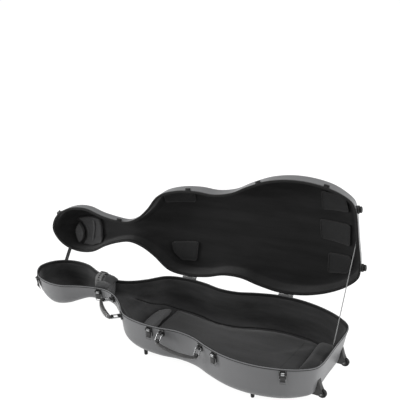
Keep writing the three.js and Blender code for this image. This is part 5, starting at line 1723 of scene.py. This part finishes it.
@dataclass
class Stays:
    """Tape that stops the lid at its end wall, webbing inside the scroll, and their sewn anchors."""

    space: CaseSpace
    finishes: Finishes
    height: float = 20
    skin: float = 8.2
    inset: float = 12
    lift: float = 4
    scroll_share: float = 0.945

    def build(self) -> None:
        """Builds both stays between the base and the lid."""
        self.end_stay()
        self.scroll_stay()

    def end_stay(self) -> None:
        """Taut tape between the end walls, and the plates that hold its ends."""
        s = self.space
        ends = []
        for half, on_lid in ((s.base, False), (s.lid, True)):
            depth, edge, draft = (float(v[0]) for v in half.profile(np.array([0.0])))
            x = -(self.skin + draft / (depth - edge) * self.height + 1.2)
            ends.append(s.row(np.array([[x, 0, half.up * self.height]]), on_lid)[0] / MM)
        run = ends[1] - ends[0]
        path = ends[0] + run * np.linspace(0, 1, 60)[:, None]
        across = np.cross([1, 0, 0], run)
        self.tape("end_stay_tape", path, ribbon(path, across, 9, 1.2), 3, "stay_end", self.finishes.tape)
        self.anchor("end_stay_anchor_base", Body.BASE, ends[0], run, across)
        self.anchor("end_stay_anchor_lid", Body.LID, ends[1], run, across)

    def scroll_stay(self) -> None:
        """Webbing that bridges the gap between the scroll's halves, its ends tucked into the rims."""
        s = self.space
        on_base, on_lid = (s.wall_frame(half, self.scroll_share, 1, 0) for half in (s.base, s.lid))
        base_line = through(on_base, [(0, -4.5, -5), (0, -7, 1), (0, -self.inset, self.lift)])
        lid_line = through(on_lid, [(0, -self.inset, -self.lift), (0, -7, 0), (0, -4.5, 6)])
        line = np.vstack([s.row(base_line), s.row(lid_line, True)]) / MM
        path = respaced(rounded_path(line, 2.5, 4), 40)
        turned = np.linspace(0, 1, 40)[:, None]
        lid_run = s.lid_matrix[:3, :3] @ on_lid[:3, 0]
        band = ribbon(path, on_base[:3, 0] * (1 - turned) + lid_run * turned, 15, 1.4)
        self.tape("scroll_stay_webbing", path, band, 8, "stay_scroll", self.finishes.binding)

    def tape(self, name: str, path: Array, band: tuple, held: int, node: str, cloth: Material) -> None:
        """Puts in a tape in millimetres of the row, fixed where it is drawn.

        Args:
            name: the piece's name.
            path: its middle line.
            band: its vertices, faces and UV.
            held: points of the line between each end and the points read off there.
            node: the CAD node that it stands for.
            cloth: its finish.
        """
        verts, faces, uv = band
        obj = weld(put_mesh(name, verts * MM, faces, uv), crease=50)
        obj.data.materials.append(cloth)
        start, end = path[held] * MM, path[-held - 1] * MM
        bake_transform(obj)
        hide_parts(node)
        LOG.info("%s between base and lid", name)

    def anchor(self, name: str, body: Body, at: Array, run: Array, across: Array) -> None:
        """Black plate with one rivet that holds the tape's end to the wall's lining."""
        up = run / np.linalg.norm(run) * (1 if body is Body.BASE else -1)
        side = across / np.linalg.norm(across)
        out = np.cross(side, up)
        out *= -np.sign(out[0])
        matrix = framed(at + out * 0.2, side, out)
        body_plate = moved(matrix, plate(14, 12, [(-0.8, 1), (0.9, 1), (1.3, 0.93)], 0.5))
        head = screw_head(matrix @ framed((0, 0, 1.3), (1, 0, 0), (0, 0, 1)), 2.6)
        verts, faces = merged([body_plate, head])
        obj = weld(put_mesh(name, verts * MM, faces))
        settle(obj, body, self.finishes.plastic)


def wired(tree: bpy.types.NodeTree, kind: str, inputs: dict, operation: str = "") -> bpy.types.Node:
    """Adds a node to a tree, with its inputs linked or set by number."""
    node = tree.nodes.new(kind)
    if operation:
        node.operation = operation
    for key, value in inputs.items():
        if isinstance(value, Socket):
            tree.links.new(value, node.inputs[key])
        else:
            node.inputs[key].default_value = value
    return node


@dataclass
class Studio:
    """Pale floor, soft light and the camera of the photograph, its place in case millimetres."""

    space: CaseSpace
    position: tuple = (1042.7, -2744.1, 1964.5)
    forward: tuple = (-0.45491849, 0.78250608, -0.42512751)
    upward: tuple = (-0.18802665, 0.38222358, 0.90473814)
    rightward: tuple = (0.87045686, 0.49151741, -0.02674858)
    focal_px: float = 952.01
    frame_px: float = 400
    sensor: float = 36
    floor_reach: float = 30
    floor_grey: float = 0.86
    floor_glow: float = 1.2
    glow_share: float = 0.78
    sky_light: float = 0.37
    white: tuple = (1, 1, 1, 1)

    def camera(self) -> None:
        """Makes the camera from its solved place and axes."""
        data = bpy.data.cameras.new("camera")
        data.sensor_width = self.sensor
        data.lens = self.focal_px / self.frame_px * self.sensor
        obj = bpy.data.objects.new("camera", data)
        axes = np.column_stack([self.rightward, self.upward, -np.array(self.forward)])
        matrix = np.eye(4)
        matrix[:3, :3], matrix[:3, 3] = axes, self.space.row(self.position)
        obj.matrix_world = Matrix(matrix.tolist())
        bpy.context.scene.collection.objects.link(obj)
        bpy.context.scene.camera = obj

    def floor(self) -> None:
        """Wide pale floor; camera and mirror rays see it nearly white, and it keeps the shadow."""
        mesh, far = bpy.data.meshes.new("floor"), self.floor_reach
        mesh.from_pydata([(-far, -far, 0), (far, -far, 0), (far, far, 0), (-far, far, 0)], [], [(0, 1, 2, 3)])
        obj = bpy.data.objects.new("floor", mesh)
        bpy.context.scene.collection.objects.link(obj)
        material = bpy.data.materials.new("pale_floor")
        material.use_nodes = True
        tree = material.node_tree
        tree.nodes.clear()
        matt = wired(tree, "ShaderNodeBsdfDiffuse", {0: (*[self.floor_grey] * 3, 1)})
        glow = wired(tree, "ShaderNodeEmission", {0: self.white, 1: self.floor_glow})
        rays = wired(tree, "ShaderNodeLightPath", {}).outputs
        most = wired(tree, "ShaderNodeMath", {0: rays["Is Camera Ray"], 1: rays["Is Glossy Ray"]}, "MAXIMUM")
        share = wired(tree, "ShaderNodeMath", {0: most.outputs[0], 1: self.glow_share}, "MULTIPLY")
        mix = wired(tree, "ShaderNodeMixShader",
                    {0: share.outputs[0], 1: matt.outputs[0], 2: glow.outputs[0]})
        wired(tree, "ShaderNodeOutputMaterial", {0: mix.outputs[0]})
        mesh.materials.append(material)

    def world(self) -> None:
        """Soft sky: grey as a light, white to the camera and through clear things."""
        world = bpy.data.worlds.new("soft_sky")
        bpy.context.scene.world = world
        world.use_nodes = True
        tree = world.node_tree
        tree.nodes.clear()
        light = wired(tree, "ShaderNodeBackground", {0: self.white, 1: self.sky_light})
        seen = wired(tree, "ShaderNodeBackground", {0: self.white, 1: 1.0})
        rays = wired(tree, "ShaderNodeLightPath", {}).outputs
        either = {0: rays["Is Camera Ray"], 1: rays["Is Transmission Ray"]}
        most = wired(tree, "ShaderNodeMath", either, "MAXIMUM")
        mix = wired(tree, "ShaderNodeMixShader",
                    {0: most.outputs[0], 1: light.outputs[0], 2: seen.outputs[0]})
        wired(tree, "ShaderNodeOutputWorld", {0: mix.outputs[0]})

    def lamp(self, name: str, place: Sequence[float], size: float, power: float) -> None:
        """Square lamp that faces the middle of the case."""
        data = bpy.data.lights.new(name, "AREA")
        data.size, data.energy = size, power
        obj = bpy.data.objects.new(name, data)
        obj.location = place
        obj.rotation_mode = "QUATERNION"
        obj.rotation_quaternion = (Vector((0, 0, 0.25)) - Vector(place)).to_track_quat("-Z", "Y")
        bpy.context.scene.collection.objects.link(obj)

    def build(self) -> None:
        """Builds the floor, sky and lamps."""
        self.floor()
        self.world()
        self.lamp("right", (3.4, 0.3, 1.3), 1.6, 72)
        self.lamp("left", (-3.4, -1.7, 1.1), 1.6, 112)
        self.lamp("front", (-0.6, -3.4, 2.6), 2.4, 9)
        self.lamp("top", (0.0, 0.9, 3.8), 2.6, 68)
        bpy.context.scene.view_settings.view_transform = "Standard"


def main() -> None:
    """Builds the camera, the sub-assemblies and the studio in order."""
    logging.basicConfig(level=logging.INFO, format="%(name)s: %(message)s")
    space = CaseSpace()
    studio = Studio(space)
    studio.camera()
    finishes = Finishes()
    for part in (
        Shells(space, finishes),
        RimTrims(space, finishes),
        Linings(space, finishes),
        Pockets(space, finishes),
        Pads(space, finishes),
        Hinges(space, finishes),
        Latches(space, finishes),
        Handle(space, finishes, "main_handle", (0.335, 0.466), math.radians(38)),
        Handle(space, finishes, "neck_handle", (0.618, 0.695), math.radians(94)),
        Feet(space, finishes),
        Wheels(space, finishes),
        NeckStrap(space, finishes),
        Stays(space, finishes),
    ):
        LOG.info("building %s", type(part).__name__)
        part.build()
    studio.build()


if __name__ == "__main__":
    main()
